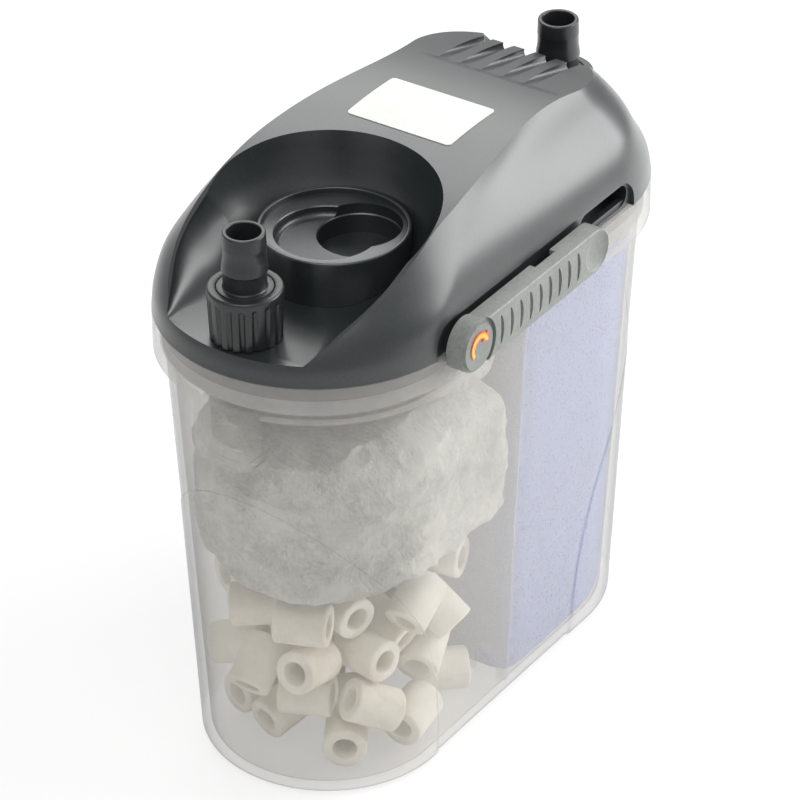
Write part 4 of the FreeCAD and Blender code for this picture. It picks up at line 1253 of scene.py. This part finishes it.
@dataclass
class Lever:
    """Latch lever: hollow bar with a round button, crescent grips and a thumb scoop."""

    pivot_y: float = -48.5
    pivot_z: float = 167.2
    disc: float = 8.8
    button: float = 7.7
    half_height: float = 7.8
    tail_y: float = 28.0
    inner_x: float = 53.0
    outer_x: float = 59.5
    wall: float = 1.6
    face: float = 2.1
    edge: float = 0.7
    hub: float = 4.2
    hub_gap: float = 0.2
    pin_bore: float = 1.65
    pin_end: float = 57.2
    # Gap that the lug leaves by: its ends along Y from the pivot, and how far it reaches out
    lug_exit: tuple = (39.0, 50.5)
    lug_end: float = 55.1
    moat: float = 9.6
    moat_depth: float = 1.1
    grips: int = 9
    grip_first: float = -36.0
    grip_pitch: float = 5.6
    grip_height: float = 10.5
    grip_width: float = 1.7
    grip_depth: float = 0.9
    grip_bow: float = 0.9
    grip_draft: float = 0.45
    # Scoop: middle along Y, how far its middle stands off the face, and its half axes
    scoop_y: float = 20.6
    scoop_off: float = 1.5
    scoop_half: tuple = (3.0, 7.9, 8.0)
    # Arrow: middle radius, half width, first and last angle, half width and reach of its head
    arrow_radius: float = 3.9
    arrow_half: float = 1.15
    arrow_turn: tuple = (215.0, 45.0)
    arrow_head: tuple = (2.0, 3.1)
    arrow_sink: float = 0.05
    arrow_proud: float = 0.4

    def side_view(self, inset: float) -> Array:
        """Outline of Y and Z: round the button, along the bar and round the tail.

        Args:
            inset: How far the outline is drawn in.
        Returns:
            Points round the lever.
        """
        disc, half = self.disc - inset, self.half_height - inset
        tail = self.tail_y - self.half_height
        start = math.asin(half / disc)
        front = np.linspace(start, 2 * math.pi - start, 56)
        rear = np.linspace(-math.pi / 2, math.pi / 2, 40)
        bar = np.linspace(self.pivot_y + disc * math.cos(start), tail, 40)[1:-1]
        return np.concatenate([
            np.c_[self.pivot_y + disc * np.cos(front), self.pivot_z + disc * np.sin(front)],
            np.c_[bar, np.full(len(bar), self.pivot_z - half)],
            np.c_[tail + half * np.cos(rear), self.pivot_z + half * np.sin(rear)],
            np.c_[bar[::-1], np.full(len(bar), self.pivot_z + half)],
        ])

    def slab(self, name: str, inset: float, low: float, high: float, edge: float) -> Piece:
        """Block of the side view whose outer edge is a quarter round.

        Args:
            name: Name of the block.
            inset: How far the side view is drawn in.
            low: X of the inner face.
            high: X of the outer face.
            edge: Radius of the quarter round, or 0 for a square edge.
        Returns:
            The block.
        """
        turn = np.linspace(0, math.pi / 2, 6) if edge else np.zeros(1)
        steps = [(low, 0.0)] + [(high - edge + edge * math.sin(a), edge - edge * math.cos(a)) for a in turn]
        rows = [along_x(self.side_view(inset + draw), [x])[0] for x, draw in steps]
        return Solid.loft(name, np.stack(rows))

    def build(self) -> Piece:
        """The right lever: the bar less its hollow, with the hub, less gap, moat, grips and scoop."""
        inside = self.outer_x - self.face
        y, z = self.pivot_y, self.pivot_z
        piece = self.slab("lever_right", 0, self.inner_x, self.outer_x, self.edge)
        hollow = self.slab("hollow", self.wall, self.inner_x - 1, inside, 0)
        hub = rod("hub", (self.inner_x + self.hub_gap, y, z), (inside + 0.5, y, z), self.hub)
        bore = rod("bore", (self.inner_x - 2, y, z), (self.pin_end, y, z), self.pin_bore)
        near, far = self.lug_exit
        gap = box_points((self.inner_x - 1, y + near, z + self.half_height - self.wall - 1),
                         (self.lug_end, y + far, z + self.half_height + 1))
        cuts = [bore, Solid.loft("lug_gap", gap), self.moat_tool()]
        cuts += [self.grip(self.grip_first + index * self.grip_pitch) for index in range(self.grips)]
        cuts.append(self.scoop())
        Solid.join(piece, [(Join.CUT, hollow), (Join.ADD, hub)] + [(Join.CUT, tool) for tool in cuts])
        Solid.shade(piece, 30)
        return piece

    def moat_tool(self) -> Piece:
        """Sunk ring round the button."""
        turn = circle(96)
        low, high = self.outer_x - self.moat_depth, self.outer_x + 1
        pairs = [(self.button, high), (self.button, self.outer_x - 0.3), (self.button + 0.25, low),
                 (self.moat, low), (self.moat, high)]
        rows = [np.c_[np.full(len(turn), x), self.pivot_y + r * np.cos(turn), self.pivot_z + r * np.sin(turn)]
                for r, x in pairs]
        return Solid.ring("moat", np.stack(rows))

    def grip(self, y: float) -> Piece:
        """Crescent: a bent strip whose width swells from nothing at its ends, drawn along X.

        Args:
            y: Where its ends are along the lever.
        Returns:
            The cutting tool.
        """
        share = np.linspace(-1, 1, 33)
        z = self.pivot_z + share * self.grip_height / 2
        bow = y + self.grip_bow * (1 - share**2)
        half = self.grip_width / 2 * np.sqrt(np.clip(1 - share**2, 0, 1))
        outline = np.concatenate([np.c_[bow + half, z], np.c_[bow - half, z][-2:0:-1]])
        floor = outline.copy()
        floor[:, 0] += (np.concatenate([bow, bow[-2:0:-1]]) - floor[:, 0]) * self.grip_draft
        sides = along_x(outline, [self.outer_x - 0.1, self.outer_x + 1])
        return Solid.loft("grip", np.concatenate([along_x(floor, [self.outer_x - self.grip_depth]), sides]))

    def scoop(self) -> Piece:
        """Oval hollow for the thumb: a flat ellipsoid at the face."""
        across = circle(64)[None, :]
        up = np.linspace(-math.pi / 2, math.pi / 2, 33)[:, None]
        deep, long, tall = self.scoop_half
        x = self.outer_x + self.scoop_off - deep * np.cos(up) * np.cos(across)
        y = self.scoop_y + long * np.cos(up) * np.sin(across)
        z = np.repeat(self.pivot_z + tall * np.sin(up), across.size, 1)
        return Solid.mesh("scoop", np.stack([x, y, z], -1), Solid.band(33, 64))

    def arrow(self) -> Piece:
        """Turning arrow: an arc whose band swells towards its head, with a triangular head, drawn along X."""
        turn = np.radians(np.linspace(*self.arrow_turn, 60))
        spoke = np.c_[np.cos(turn), np.sin(turn)]
        swell = self.arrow_half * (0.55 + 0.45 * smooth(np.linspace(0, 1.6, 60)))[:, None]
        across = spoke[-1]
        along = np.array([across[1], -across[0]])
        base = across * self.arrow_radius
        wide, reach = self.arrow_head
        head = np.array([base + across * wide, base + along * reach, base - across * wide])
        bands = [spoke * (self.arrow_radius + swell), head, (spoke * (self.arrow_radius - swell))[::-1]]
        outline = np.concatenate(bands) + (self.pivot_y, self.pivot_z)
        places = [self.outer_x - self.arrow_sink, self.outer_x + self.arrow_proud]
        piece = Solid.loft("arrow_right", along_x(outline, places))
        Solid.shade(piece)
        return piece


def other_side(piece: Piece, name: str) -> Piece:
    """Copy of a piece on the left, after half a turn about the upright axis.

    Args:
        piece: The piece on the right.
        name: Name of the copy.
    Returns:
        The copy.
    """
    data = piece.data.copy()
    places = np.empty(len(data.vertices) * 3)
    data.vertices.foreach_get("co", places)
    data.vertices.foreach_set("co", half_turn(places.reshape(-1, 3)).ravel())
    return linked(name, data)


@dataclass
class Canister:
    """Clear tapering canister with its rim, pull tabs, proud ends and lever lugs."""

    # Foot and body: radius of the ends and half length of the straight sides
    foot: tuple = (41.6, 47.7)
    body: tuple = (48.7, 50.5)
    wall: float = 2.2
    floor: float = 2.6
    foot_round: float = 3.5
    inner_round: float = 2.0
    ledge: float = 151.5
    ledge_thickness: float = 2.5
    rim: float = 52.5
    rim_top: float = 165.3
    rim_wall: float = 2.2
    rim_low_edge: float = 0.5
    rim_top_edge: float = 0.4
    proud: float = 0.9
    proud_top: float = 0.1
    shield_top: float = 125.0
    shields: tuple = ((-1, 46.0), (1, 36.0))
    # Shield's edge: how far it bends away from the end, and the height
    shield_curve: tuple = ((0, -1), (0.6, 16), (4.5, 39), (13, 62), (23, 78), (35, 94), (58, 125))
    tab_half: float = 12.0
    tab_bottom: float = 131.0
    tab_corner: float = 6.0
    tab_wall: float = 2.0
    tab_root: float = 9.0
    # Lug: y, z, radius
    lug: tuple = (-13.5, 163.0, 1.7)
    lug_x: tuple = (51.4, 54.8)
    around: int = 96

    def at(self, z: float | Array) -> tuple:
        """Size of the outside, which grows evenly from foot to ledge.

        Args:
            z: One height or many.
        Returns:
            Radius of the ends and half length of the straight sides.
        """
        share = z / self.ledge
        radius = self.foot[0] + (self.body[0] - self.foot[0]) * share
        half = self.foot[1] + (self.body[1] - self.foot[1]) * share
        return radius, half

    def footed(self, name: str, extra_low: float, extra_high: float, top: float) -> Piece:
        """Tapering block on a rounded foot, grown by an amount that changes from foot to top.

        Args:
            name: Name of the block.
            extra_low: Growth at the foot.
            extra_high: Growth at the top.
            top: Height of the block.
        Returns:
            The block.
        """
        levels = []
        for angle in np.linspace(0, math.pi / 2, 10):
            z = self.foot_round * (1 - math.cos(angle))
            radius, half = self.at(z)
            levels.append((radius + extra_low - self.foot_round * (1 - math.sin(angle)), half, z))
        for share in np.linspace(0.05, 1, 24):
            z = self.foot_round + (top - self.foot_round) * share
            radius, half = self.at(min(z, self.ledge))
            levels.append((radius + extra_low + (extra_high - extra_low) * z / top, half, z))
        return Solid.loft(name, stadium_stack(levels, self.around))

    def shield_area(self, side: int, edge_y: float) -> Piece:
        """Block over one end, up to the curve on the long sides.

        Args:
            side: -1 for the front end, 1 for the rear one.
            edge_y: How far from the middle the curve stands at the foot.
        Returns:
            The block.
        """
        offsets, knots = zip(*self.shield_curve)
        heights = np.linspace(knots[0], knots[-1], 90)
        curve = np.c_[side * (edge_y + through(knots, offsets, heights)), heights]
        corners = [(side * 120, knots[-1]), (side * 120, knots[0])]
        return Solid.loft("shield_area", along_x(np.concatenate([curve, corners]), [-60, 60]))

    def tab(self, side: int, inset: float) -> Piece:
        """Round-cornered tongue under the rim at one end.

        Args:
            side: -1 for the front end, 1 for the rear one.
            inset: How far the tongue is drawn in.
        Returns:
            The tongue.
        """
        half = self.tab_half - inset
        low = (-half, self.tab_bottom + inset)
        plan = round_box(low, (half, self.ledge + 12), self.tab_corner - inset, 14)
        near = side * (self.body[1] + self.body[0] - self.tab_root)
        rows = np.stack([np.c_[plan[:, 0], np.full(len(plan), y), plan[:, 1]] for y in (near, side * 115)])
        reach = stadium(self.rim - inset, self.body[1], self.around)
        limit = upright_loft("tab_limit", reach, (126, self.ledge + 1))
        return Solid.join(Solid.loft("tab", rows), [(Join.KEEP, limit)])

    def inside(self) -> Piece:
        """Room inside the shell: the taper less the wall, on a rounded floor."""
        levels = []
        for angle in np.linspace(0, math.pi / 2, 8):
            z = self.floor + self.inner_round * (1 - math.cos(angle))
            radius, half = self.at(z)
            levels.append((radius - self.wall - self.inner_round * (1 - math.sin(angle)), half, z))
        for z in np.linspace(12, self.ledge, 16):
            radius, half = self.at(z)
            levels.append((radius - self.wall, half, z))
        levels.append((self.body[0] - self.wall, self.body[1], self.ledge + self.ledge_thickness + 0.5))
        return Solid.loft("inside", stadium_stack(levels, self.around))

    def build(self) -> Piece:
        """Shell with shields, rim and tabs, less its inside, with the lugs."""
        shell_top = self.ledge + self.ledge_thickness
        piece = self.footed("canister", 0, 0, shell_top)
        for side, edge_y in self.shields:
            skin = self.footed("shield", self.proud, self.proud_top, self.shield_top)
            Solid.join(skin, [(Join.KEEP, self.shield_area(side, edge_y))])
            Solid.add(piece, [skin])
        half, low, high = self.body[1], self.rim_low_edge, self.rim_top_edge
        rim = stadium_stack([(self.rim - low, half, self.ledge), (self.rim, half, self.ledge + low),
                             (self.rim, half, self.rim_top - high), (self.rim - high, half, self.rim_top)],
                            self.around)
        seat = upright_loft("seat", stadium(self.rim - self.rim_wall, half, self.around),
                            (shell_top, self.rim_top + 1))
        y, z, radius = self.lug
        near, far = self.lug_x
        added = [Solid.loft("rim", rim)] + [self.tab(side, 0) for side in (-1, 1)]
        cut = [self.inside(), seat] + [self.tab(side, self.tab_wall) for side in (-1, 1)]
        lugs = [rod("lug", (s * near, s * y, z), (s * far, s * y, z), radius) for s in (-1, 1)]
        Solid.join(piece, [(Join.ADD, tool) for tool in added] + [(Join.CUT, tool) for tool in cut]
                   + [(Join.ADD, tool) for tool in lugs])
        Solid.shade(piece, 25)
        return piece


@dataclass
class Media:
    """Foam, fleece and ceramic rings in the two chambers."""

    canister: Canister
    divider_half: float = 1.0
    mean_radius: float = 45.0
    mean_straight: float = 48.0
    corner_area: float = 18.0
    corner_draw: float = 1.4
    end_share: float = 0.92
    end_steps: int = 9
    sponge_low: float = 2.8
    sponge_top: float = 148.0
    sponge_gap: float = 0.7
    # Wadding: low and high. Pad: low, high, width, length, and y of its nearer edge
    wadding: tuple = (71.0, 129.0)
    pad: tuple = (129.3, 151.0, 40.0, 38.0, -2.5)
    pad_gap: float = 4.2
    ring_outer: float = 7.4
    ring_bore: float = 4.0
    ring_length: float = 18.0
    ring_edge: float = 0.9
    ring_bore_edge: float = 0.6
    ring_uneven: float = 0.012

    def chamber(self, side: int, z: Array, inset: Array, around: int = 240) -> Array:
        """Rows of one chamber's outline at heights z: straight along the divider, round at the far end.

        Args:
            side: -1 for the front chamber, 1 for the rear one.
            z: Heights of the rows.
            inset: How far each row is drawn in from the walls.
            around: Points in a row, spread over straight, sides and end by their lengths.
        Returns:
            Points of shape (rows, around, 3).
        """
        outer, straight = self.canister.at(np.asarray(z)[:, None])
        radius = outer - self.canister.wall - np.asarray(inset)[:, None]
        near = self.divider_half + np.asarray(inset)[:, None]
        end = math.pi * self.mean_radius
        lengths = np.array([2 * self.mean_radius, self.mean_straight, end, self.mean_straight])
        counts = np.round(around * lengths / lengths.sum()).astype(int)
        counts[2] += around - counts.sum()
        steps = [np.linspace(0, 1, count, endpoint=False)[None, :] for count in counts]
        x = np.concatenate([radius * (2 * steps[0] - 1), radius + 0 * steps[1],
                            radius * np.cos(math.pi * steps[2]), -radius + 0 * steps[3]], 1)
        y = np.concatenate([near + 0 * steps[0], near + (straight - near) * steps[1],
                            straight + radius * np.sin(math.pi * steps[2]),
                            straight + (near - straight) * steps[3]], 1)
        corner = np.exp(-((np.abs(x) - radius) ** 2 + (y - near) ** 2) / self.corner_area)
        x = x - np.sign(x) * corner * self.corner_draw
        y = y + corner * self.corner_draw
        heights = np.broadcast_to(np.asarray(z)[:, None], x.shape)
        return np.stack([x, side * y, heights], -1)

    def pillow(self, name: str, rows: Array) -> Piece:
        """Closed form: rows, with each end drawn in to its middle in steps.

        Args:
            name: Name of the piece.
            rows: Closed outlines from low to high.
        Returns:
            The piece.
        """
        draw = np.linspace(0, self.end_share, self.end_steps)[:, None, None]
        low, high = rows[0].mean(0), rows[-1].mean(0)
        closed = np.concatenate([low + (rows[0] - low) * draw, rows, high + (rows[-1] - high) * draw[::-1]])
        return Solid.mesh(name, closed, Solid.band(len(closed), rows.shape[1]))

    def sponge(self) -> Piece:
        """Foam block cut to the rear chamber, rounded at both ends, its skin uneven by noise."""
        low, top = self.sponge_low, self.sponge_top
        z = np.concatenate([np.linspace(low, 7, 6), np.linspace(8, 142, 120), np.linspace(143, top, 6)])
        foot = 1.2 * (1 - smooth((z - low) / 4))
        inset = self.sponge_gap + foot + 2.0 * smooth((z - (top - 4.5)) / 4.5)
        rows = self.chamber(1, z, inset, 300)
        rows = drawn_in(rows, 0.25 * (lattice_noise(rows, 2.4, 5) + 1) / 2)
        piece = self.pillow("sponge_block", rows)
        Solid.shade(piece, 60)
        return piece

    def fleece(self) -> Piece:
        """Crumpled fleece: the chamber's outline drawn in by folds, ridged noise in three sizes.

        The folds calm down towards the divider, where the fleece lies flat.
        """
        low, high = self.wadding
        share = np.linspace(0, 1, 150)
        inset = through([0, 0.06, 0.2, 0.5, 0.75, 0.9, 1.0], [7, 2.2, 0.9, 0.8, 1.6, 5, 12], share)
        rows = self.chamber(-1, low + (high - low) * share, inset, 420)
        squeezed = rows * (1, 1, 1.7)
        large = 1 - np.abs(lattice_noise(squeezed, 21.0, 11))
        middle = 1 - np.abs(lattice_noise(squeezed + 30, 8.0, 12))
        small = lattice_noise(rows, 2.2, 13)
        fold = 3.2 * (1 - large**2) + 2.4 * (1 - middle**1.5) + 0.4 * (small + 1)
        calm = 0.3 + 0.7 * smooth((-rows[..., 1] - 3.0) / 16.0)
        rows = drawn_in(rows, fold * calm)
        rows[..., 2] += 1.6 * lattice_noise(rows, 15.0, 17) * np.sin(math.pi * share)[:, None]
        piece = self.pillow("filter_wadding", rows)
        Solid.shade(piece, 70)
        return piece

    def top_pad(self) -> Piece:
        """Small folded fleece pad: a rounded block swollen to a cushion and crumpled by noise."""
        low, high, width, length, near = self.pad
        radius, _ = self.canister.at((low + high) / 2)
        centre = np.array([radius - self.pad_gap - width / 2, near - length / 2, (low + high) / 2])
        up = np.linspace(-math.pi / 2, math.pi / 2, 80)[:, None]
        turn = circle(160)[None, :]
        level = np.abs(np.cos(up)) ** 0.45
        x = width / 2 * level * squared_off(np.cos(turn), 0.55)
        y = length / 2 * level * squared_off(np.sin(turn), 0.55)
        z = np.repeat((high - low) / 2 * squared_off(np.sin(up), 0.75), turn.size, 1)
        rows = np.stack([x, y, z], -1)
        noise = 0.06 * (1 + lattice_noise(rows + 40, 7.0, 23)) + 0.03 * (1 + lattice_noise(rows, 2.5, 24))
        piece = Solid.mesh("wadding_top_pad", centre + rows * (1 - noise[..., None]), Solid.band(80, 160))
        Solid.shade(piece, 70)
        return piece

    def ring_profile(self) -> Array:
        """Closed section of a ring's wall with rounded corners, as radius and place along the axis."""
        outer, bore, half = self.ring_outer, self.ring_bore, self.ring_length / 2
        edge, inner_edge = self.ring_edge, self.ring_bore_edge
        corner_out = arc(outer - edge, half - edge, edge, 90, 0, 4)
        corner_in = arc(bore + inner_edge, half - inner_edge, inner_edge, 90, 180, 4)
        sides = np.c_[np.full(5, outer), np.linspace(half - 2.5, 2.5 - half, 5)]
        wall = np.c_[np.full(3, bore), np.linspace(2.5 - half, half - 2.5, 3)]
        lower_out, lower_in = corner_out[::-1] * (1, -1), corner_in * (1, -1)
        return np.concatenate([corner_out, sides, lower_out, lower_in, wall, corner_in[::-1]])

    def rings(self, node: Piece) -> Piece:
        """Ceramic rings where the CAD ones lie: the wall's section turned about each ring's axis.

        Args:
            node: The CAD node, whose separate solids give each ring's centre and longest direction.
        Returns:
            One piece of all the rings.
        """
        turn = circle(44)
        profile = self.ring_profile()
        quads = np.array(Solid.band(len(profile) + 1, len(turn)))
        rows, faces, count = [], [], 0
        for index, own in enumerate(separate_solids(node)):
            centre = own.mean(0)
            axis = np.linalg.eigh(np.cov((own - centre).T))[1][:, -1]
            side = np.cross(axis, (0.31, 0.52, 0.79))
            side /= np.linalg.norm(side)
            other = np.cross(side, axis)
            spokes = np.cos(turn)[:, None] * side + np.sin(turn)[:, None] * other
            ring = profile[:, None, :1] * spokes + profile[:, None, 1:] * axis
            uneven = lattice_noise(ring + 17.0 * index, 3.2, 31) - 1
            ring = ring * (1 + self.ring_uneven * uneven[..., None])
            ring = np.concatenate([ring, ring[:1]])
            rows.append((ring + centre).reshape(-1, 3))
            faces.append(quads + count)
            count += len(rows[-1])
        piece = Solid.mesh("ceramic_rings", np.concatenate(rows), np.concatenate(faces).tolist())
        Solid.shade(piece, 50)
        return piece


# Stage


@dataclass
class Studio:
    """Camera at the photograph's angle, soft lamps, a pale floor and a white background."""

    azimuth: float = 34.139
    elevation: float = 32.702
    roll: float = -0.394
    focal: float = 4750.9
    picture: float = 800.0
    sensor: float = 36.0
    eye: tuple = (738.6, -1094.0, 948.2)
    aim: tuple = (0.0, 0.0, 0.12)
    # Lamps: name, azimuth, elevation, distance and width in metres, power in watts
    lamps: tuple = (
        ("key", 20, 60, 1.3, 0.9, 8.0), ("side", 136, 26, 1.1, 0.85, 15.0), ("back", -140, 42, 1.3, 0.8, 6.0),
    )
    ambient: float = 0.5
    glossy_share: float = 0.12
    floor_z: float = -0.6
    floor_radii: tuple = (0.0, 300.0, 6000.0)
    floor_glow: float = 0.72

    @staticmethod
    def axes(azimuth: float, elevation: float) -> tuple[Array, Array, Array]:
        """Axes of something that looks at the object from azimuth and elevation.

        Args:
            azimuth: Degrees round from the front, to the right.
            elevation: Degrees up from level.
        Returns:
            Directions to the right, up and back.
        """
        a, e = math.radians(azimuth), math.radians(elevation)
        back = np.array([math.sin(a) * math.cos(e), -math.cos(a) * math.cos(e), math.sin(e)])
        right = np.array([math.cos(a), math.sin(a), 0])
        return right, np.cross(back, right), back

    @staticmethod
    def stand(name: str, data: bpy.types.ID, axes: tuple, at: Array) -> Piece:
        """Object of a camera or a lamp.

        Args:
            name: Its name.
            data: The camera's or lamp's settings.
            axes: Its right, up and back directions.
            at: Where it stands, in metres.
        Returns:
            The linked object.
        """
        made = linked(name, data)
        columns = (*axes, at)
        made.matrix_world = Matrix([[column[k] for column in columns] for k in range(3)] + [(0, 0, 0, 1)])
        return made

    def camera(self) -> None:
        """Camera rolled about the line of sight, with the photograph's focal length."""
        right, up, back = self.axes(self.azimuth, self.elevation)
        r = math.radians(self.roll)
        turned_right = math.cos(r) * right + math.sin(r) * up
        turned_up = -math.sin(r) * right + math.cos(r) * up
        data = bpy.data.cameras.new("camera")
        data.sensor_width = self.sensor
        data.lens = self.focal / self.picture * self.sensor
        data.clip_end = 20.0
        axes = (turned_right, turned_up, back)
        bpy.context.scene.camera = self.stand("camera", data, axes, np.array(self.eye) * MM)

    def lamp(self, name: str, azimuth: float, elevation: float,
             distance: float, width: float, power: float) -> None:
        """Square area lamp on a sphere round the object, facing its middle.

        Args:
            name: Name of the lamp.
            azimuth: Degrees round from the front, to the right.
            elevation: Degrees up from level.
            distance: Metres from the object's middle.
            width: Metres along each edge.
            power: Watts.
        """
        axes = self.axes(azimuth, elevation)
        data = bpy.data.lights.new(name, "AREA")
        data.size = width
        data.energy = power
        self.stand(name, data, axes, np.array(self.aim) + axes[2] * distance)

    def shown(self, nodes: NodeSet) -> Value:
        """Share of the white background for each ray: 1 for camera and transmission rays, a small share for
        glossy ones.

        Args:
            nodes: The nodes that the rays' kinds are read in.
        Returns:
            A share from 0 to 1.
        """
        seen = nodes.add("ShaderNodeLightPath", {}, {}, "Is Camera Ray")
        path = seen.socket.node
        glossy = Value(nodes, path.outputs["Is Glossy Ray"])
        passing = Value(nodes, path.outputs["Is Transmission Ray"])
        total = seen + glossy * self.glossy_share + passing
        return total.maths("MINIMUM", total, 1.0)

    def world(self) -> None:
        """White background over a plain ambient level."""
        world = bpy.data.worlds.new("studio_world")
        bpy.context.scene.world = world
        nodes = NodeSet(world)
        strength = self.ambient + self.shown(nodes) * (1 - self.ambient)
        white = {"Color": (1.0, 1.0, 1.0), "Strength": strength}
        nodes.close(nodes.add("ShaderNodeBackground", {}, white), "ShaderNodeOutputWorld")

    def floor(self) -> None:
        """Round pale floor that fades to white, keeping the object's shadow."""
        turn = circle(96)
        plan = np.c_[np.cos(turn), np.sin(turn)]
        rows = np.stack([raised(radius * plan, self.floor_z) for radius in self.floor_radii])
        floor = Solid.mesh("floor", rows, Solid.band(3, 96))
        nodes = NodeSet.named("floor_white")
        pale = nodes.blend(nodes.noise(8.0, 2.0), (0.86, 0.86, 0.86), (0.9, 0.9, 0.9))
        diffuse = nodes.add("ShaderNodeBsdfDiffuse", {}, {"Color": pale})
        glow = nodes.add("ShaderNodeEmission", {}, {"Color": (1.0, 1.0, 1.0), "Strength": 1.0})
        share = self.shown(nodes) * self.floor_glow
        mixed = nodes.add("ShaderNodeMixShader", {}, {0: share, 1: diffuse, 2: glow})
        floor.data.materials.append(nodes.close(mixed, "ShaderNodeOutputMaterial"))

    def build(self) -> None:
        """Camera, lamps, world and floor."""
        bpy.context.scene.view_settings.view_transform = "Standard"
        self.camera()
        for lamp in self.lamps:
            self.lamp(*lamp)
        self.world()
        self.floor()


# CAD nodes that stay


CARRIED = {
    "divider": DIVIDER_CLEAR,
    "head_floor": INNER_GREY,
    "head_gasket": SILICONE_GREY,
    "inlet_seal": RUBBER_BLACK,
    "outlet_seal": RUBBER_BLACK,
    "inlet_duct": INNER_GREY,
    "pump_housing": INNER_GREY,
    "impeller_cover": INNER_GREY,
    "shaft_bushes": RUBBER_BLACK,
    "rotor_shaft": CERAMIC_CREAM,
    "stator_core": SILICON_STEEL,
    "stator_coils": COPPER,
    "floor_screws": STEEL,
    "cable_gland": RUBBER_BLACK,
    "pin_right": STEEL,
    "pin_left": STEEL,
    "rotor_magnet": MAGNET_BLACK,
    "impeller": IMPELLER_BLUE,
}


def dress_carried(nodes: dict, finishes: Finishes) -> None:
    """Give every CAD node that stays its procedural material.

    Args:
        nodes: The frame's objects by name.
        finishes: The shared materials.
    """
    for name, finish in CARRIED.items():
        node = nodes[name]
        node.data.materials.clear()
        node.data.materials.append(finishes.of(finish))
        LOG.info("%s stays", name)


# Whole object


def build_head(finishes: Finishes) -> None:
    """Shell, bowl ring, label, nozzles and nuts.

    Args:
        finishes: The shared materials.
    """
    head = HeadShell()
    place(head.build(), Body.HEAD, "head_plastic", finishes, HEAD_SATIN, HEAD_GRAIN_AND_PAINTED_SHEEN)
    place(head.bowl_ring(), Body.HEAD, "head_plastic", finishes, HEAD_SATIN)
    place(head.label(), Body.HEAD, "label", finishes, LABEL_WHITE)
    inlet = Nozzle(-89.0, 190.3, "inlet", Body.FRONT_NUT)
    outlet = Nozzle(90.5, 183.5, "outlet", Body.REAR_NUT)
    for nozzle in (inlet, outlet):
        place(nozzle.barb(), Body.HEAD, "head_plastic", finishes, NOZZLE_BLACK)
        place(nozzle.nut(), nozzle.nut_body, "head_plastic", finishes, NOZZLE_BLACK)


def build_levers(finishes: Finishes) -> None:
    """Both levers with their arrows, the left pair from the right one by half a turn.

    Args:
        finishes: The shared materials.
    """
    lever = Lever()
    right, arrow = lever.build(), lever.arrow()
    left, left_arrow = other_side(right, "lever_left"), other_side(arrow, "arrow_left")
    # Orange rim colour and a paler middle colour that is a painted highlight.
    rim, middle = linear(232, 74, 28), linear(255, 176, 62)
    y, z, radius = lever.pivot_y, lever.pivot_z, lever.arrow_radius
    paint = PaintedArrow("arrow_orange", rim, middle, y, z, radius)
    left_paint = PaintedArrow("left_arrow_orange", rim, middle, -y, z, radius)
    place(right, Body.RIGHT_LEVER, "lever_plastic", finishes, LEVER_SATIN)
    place(left, Body.LEFT_LEVER, "lever_plastic", finishes, LEVER_SATIN)
    place(arrow, Body.RIGHT_LEVER, "arrow_orange", finishes, paint)
    place(left_arrow, Body.LEFT_LEVER, "arrow_orange", finishes, left_paint)


def build_canister(finishes: Finishes, rings_node: Piece) -> None:
    """Canister, rings, foam, fleece and pad.

    Args:
        finishes: The shared materials.
        rings_node: The CAD node of the rings.
    """
    canister = Canister()
    place(canister.build(), Body.CANISTER, "clear_plastic", finishes, CANISTER_CLEAR)
    media = Media(canister)
    place(media.rings(rings_node), Body.CANISTER, "ceramic", finishes, CERAMIC_CREAM)
    soft = ((media.sponge(), "blue_foam", FOAM_BLUE, 0.9), (media.fleece(), "wadding", FLEECE_WHITE, 0.5),
            (media.top_pad(), "wadding", FLEECE_WHITE, 0.5))
    for piece, slot, finish, fill in soft:
        place(piece, Body.CANISTER, slot, finishes, finish)


def main() -> None:
    """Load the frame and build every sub-assembly in order."""
    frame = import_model()
    finishes = Finishes()
    Studio().build()
    build_head(finishes)
    build_levers(finishes)
    build_canister(finishes, frame["nodes"]["ceramic_rings"])
    dress_carried(frame["nodes"], finishes)


if __name__ == "__main__":
    logging.basicConfig(level=logging.INFO)
    main()
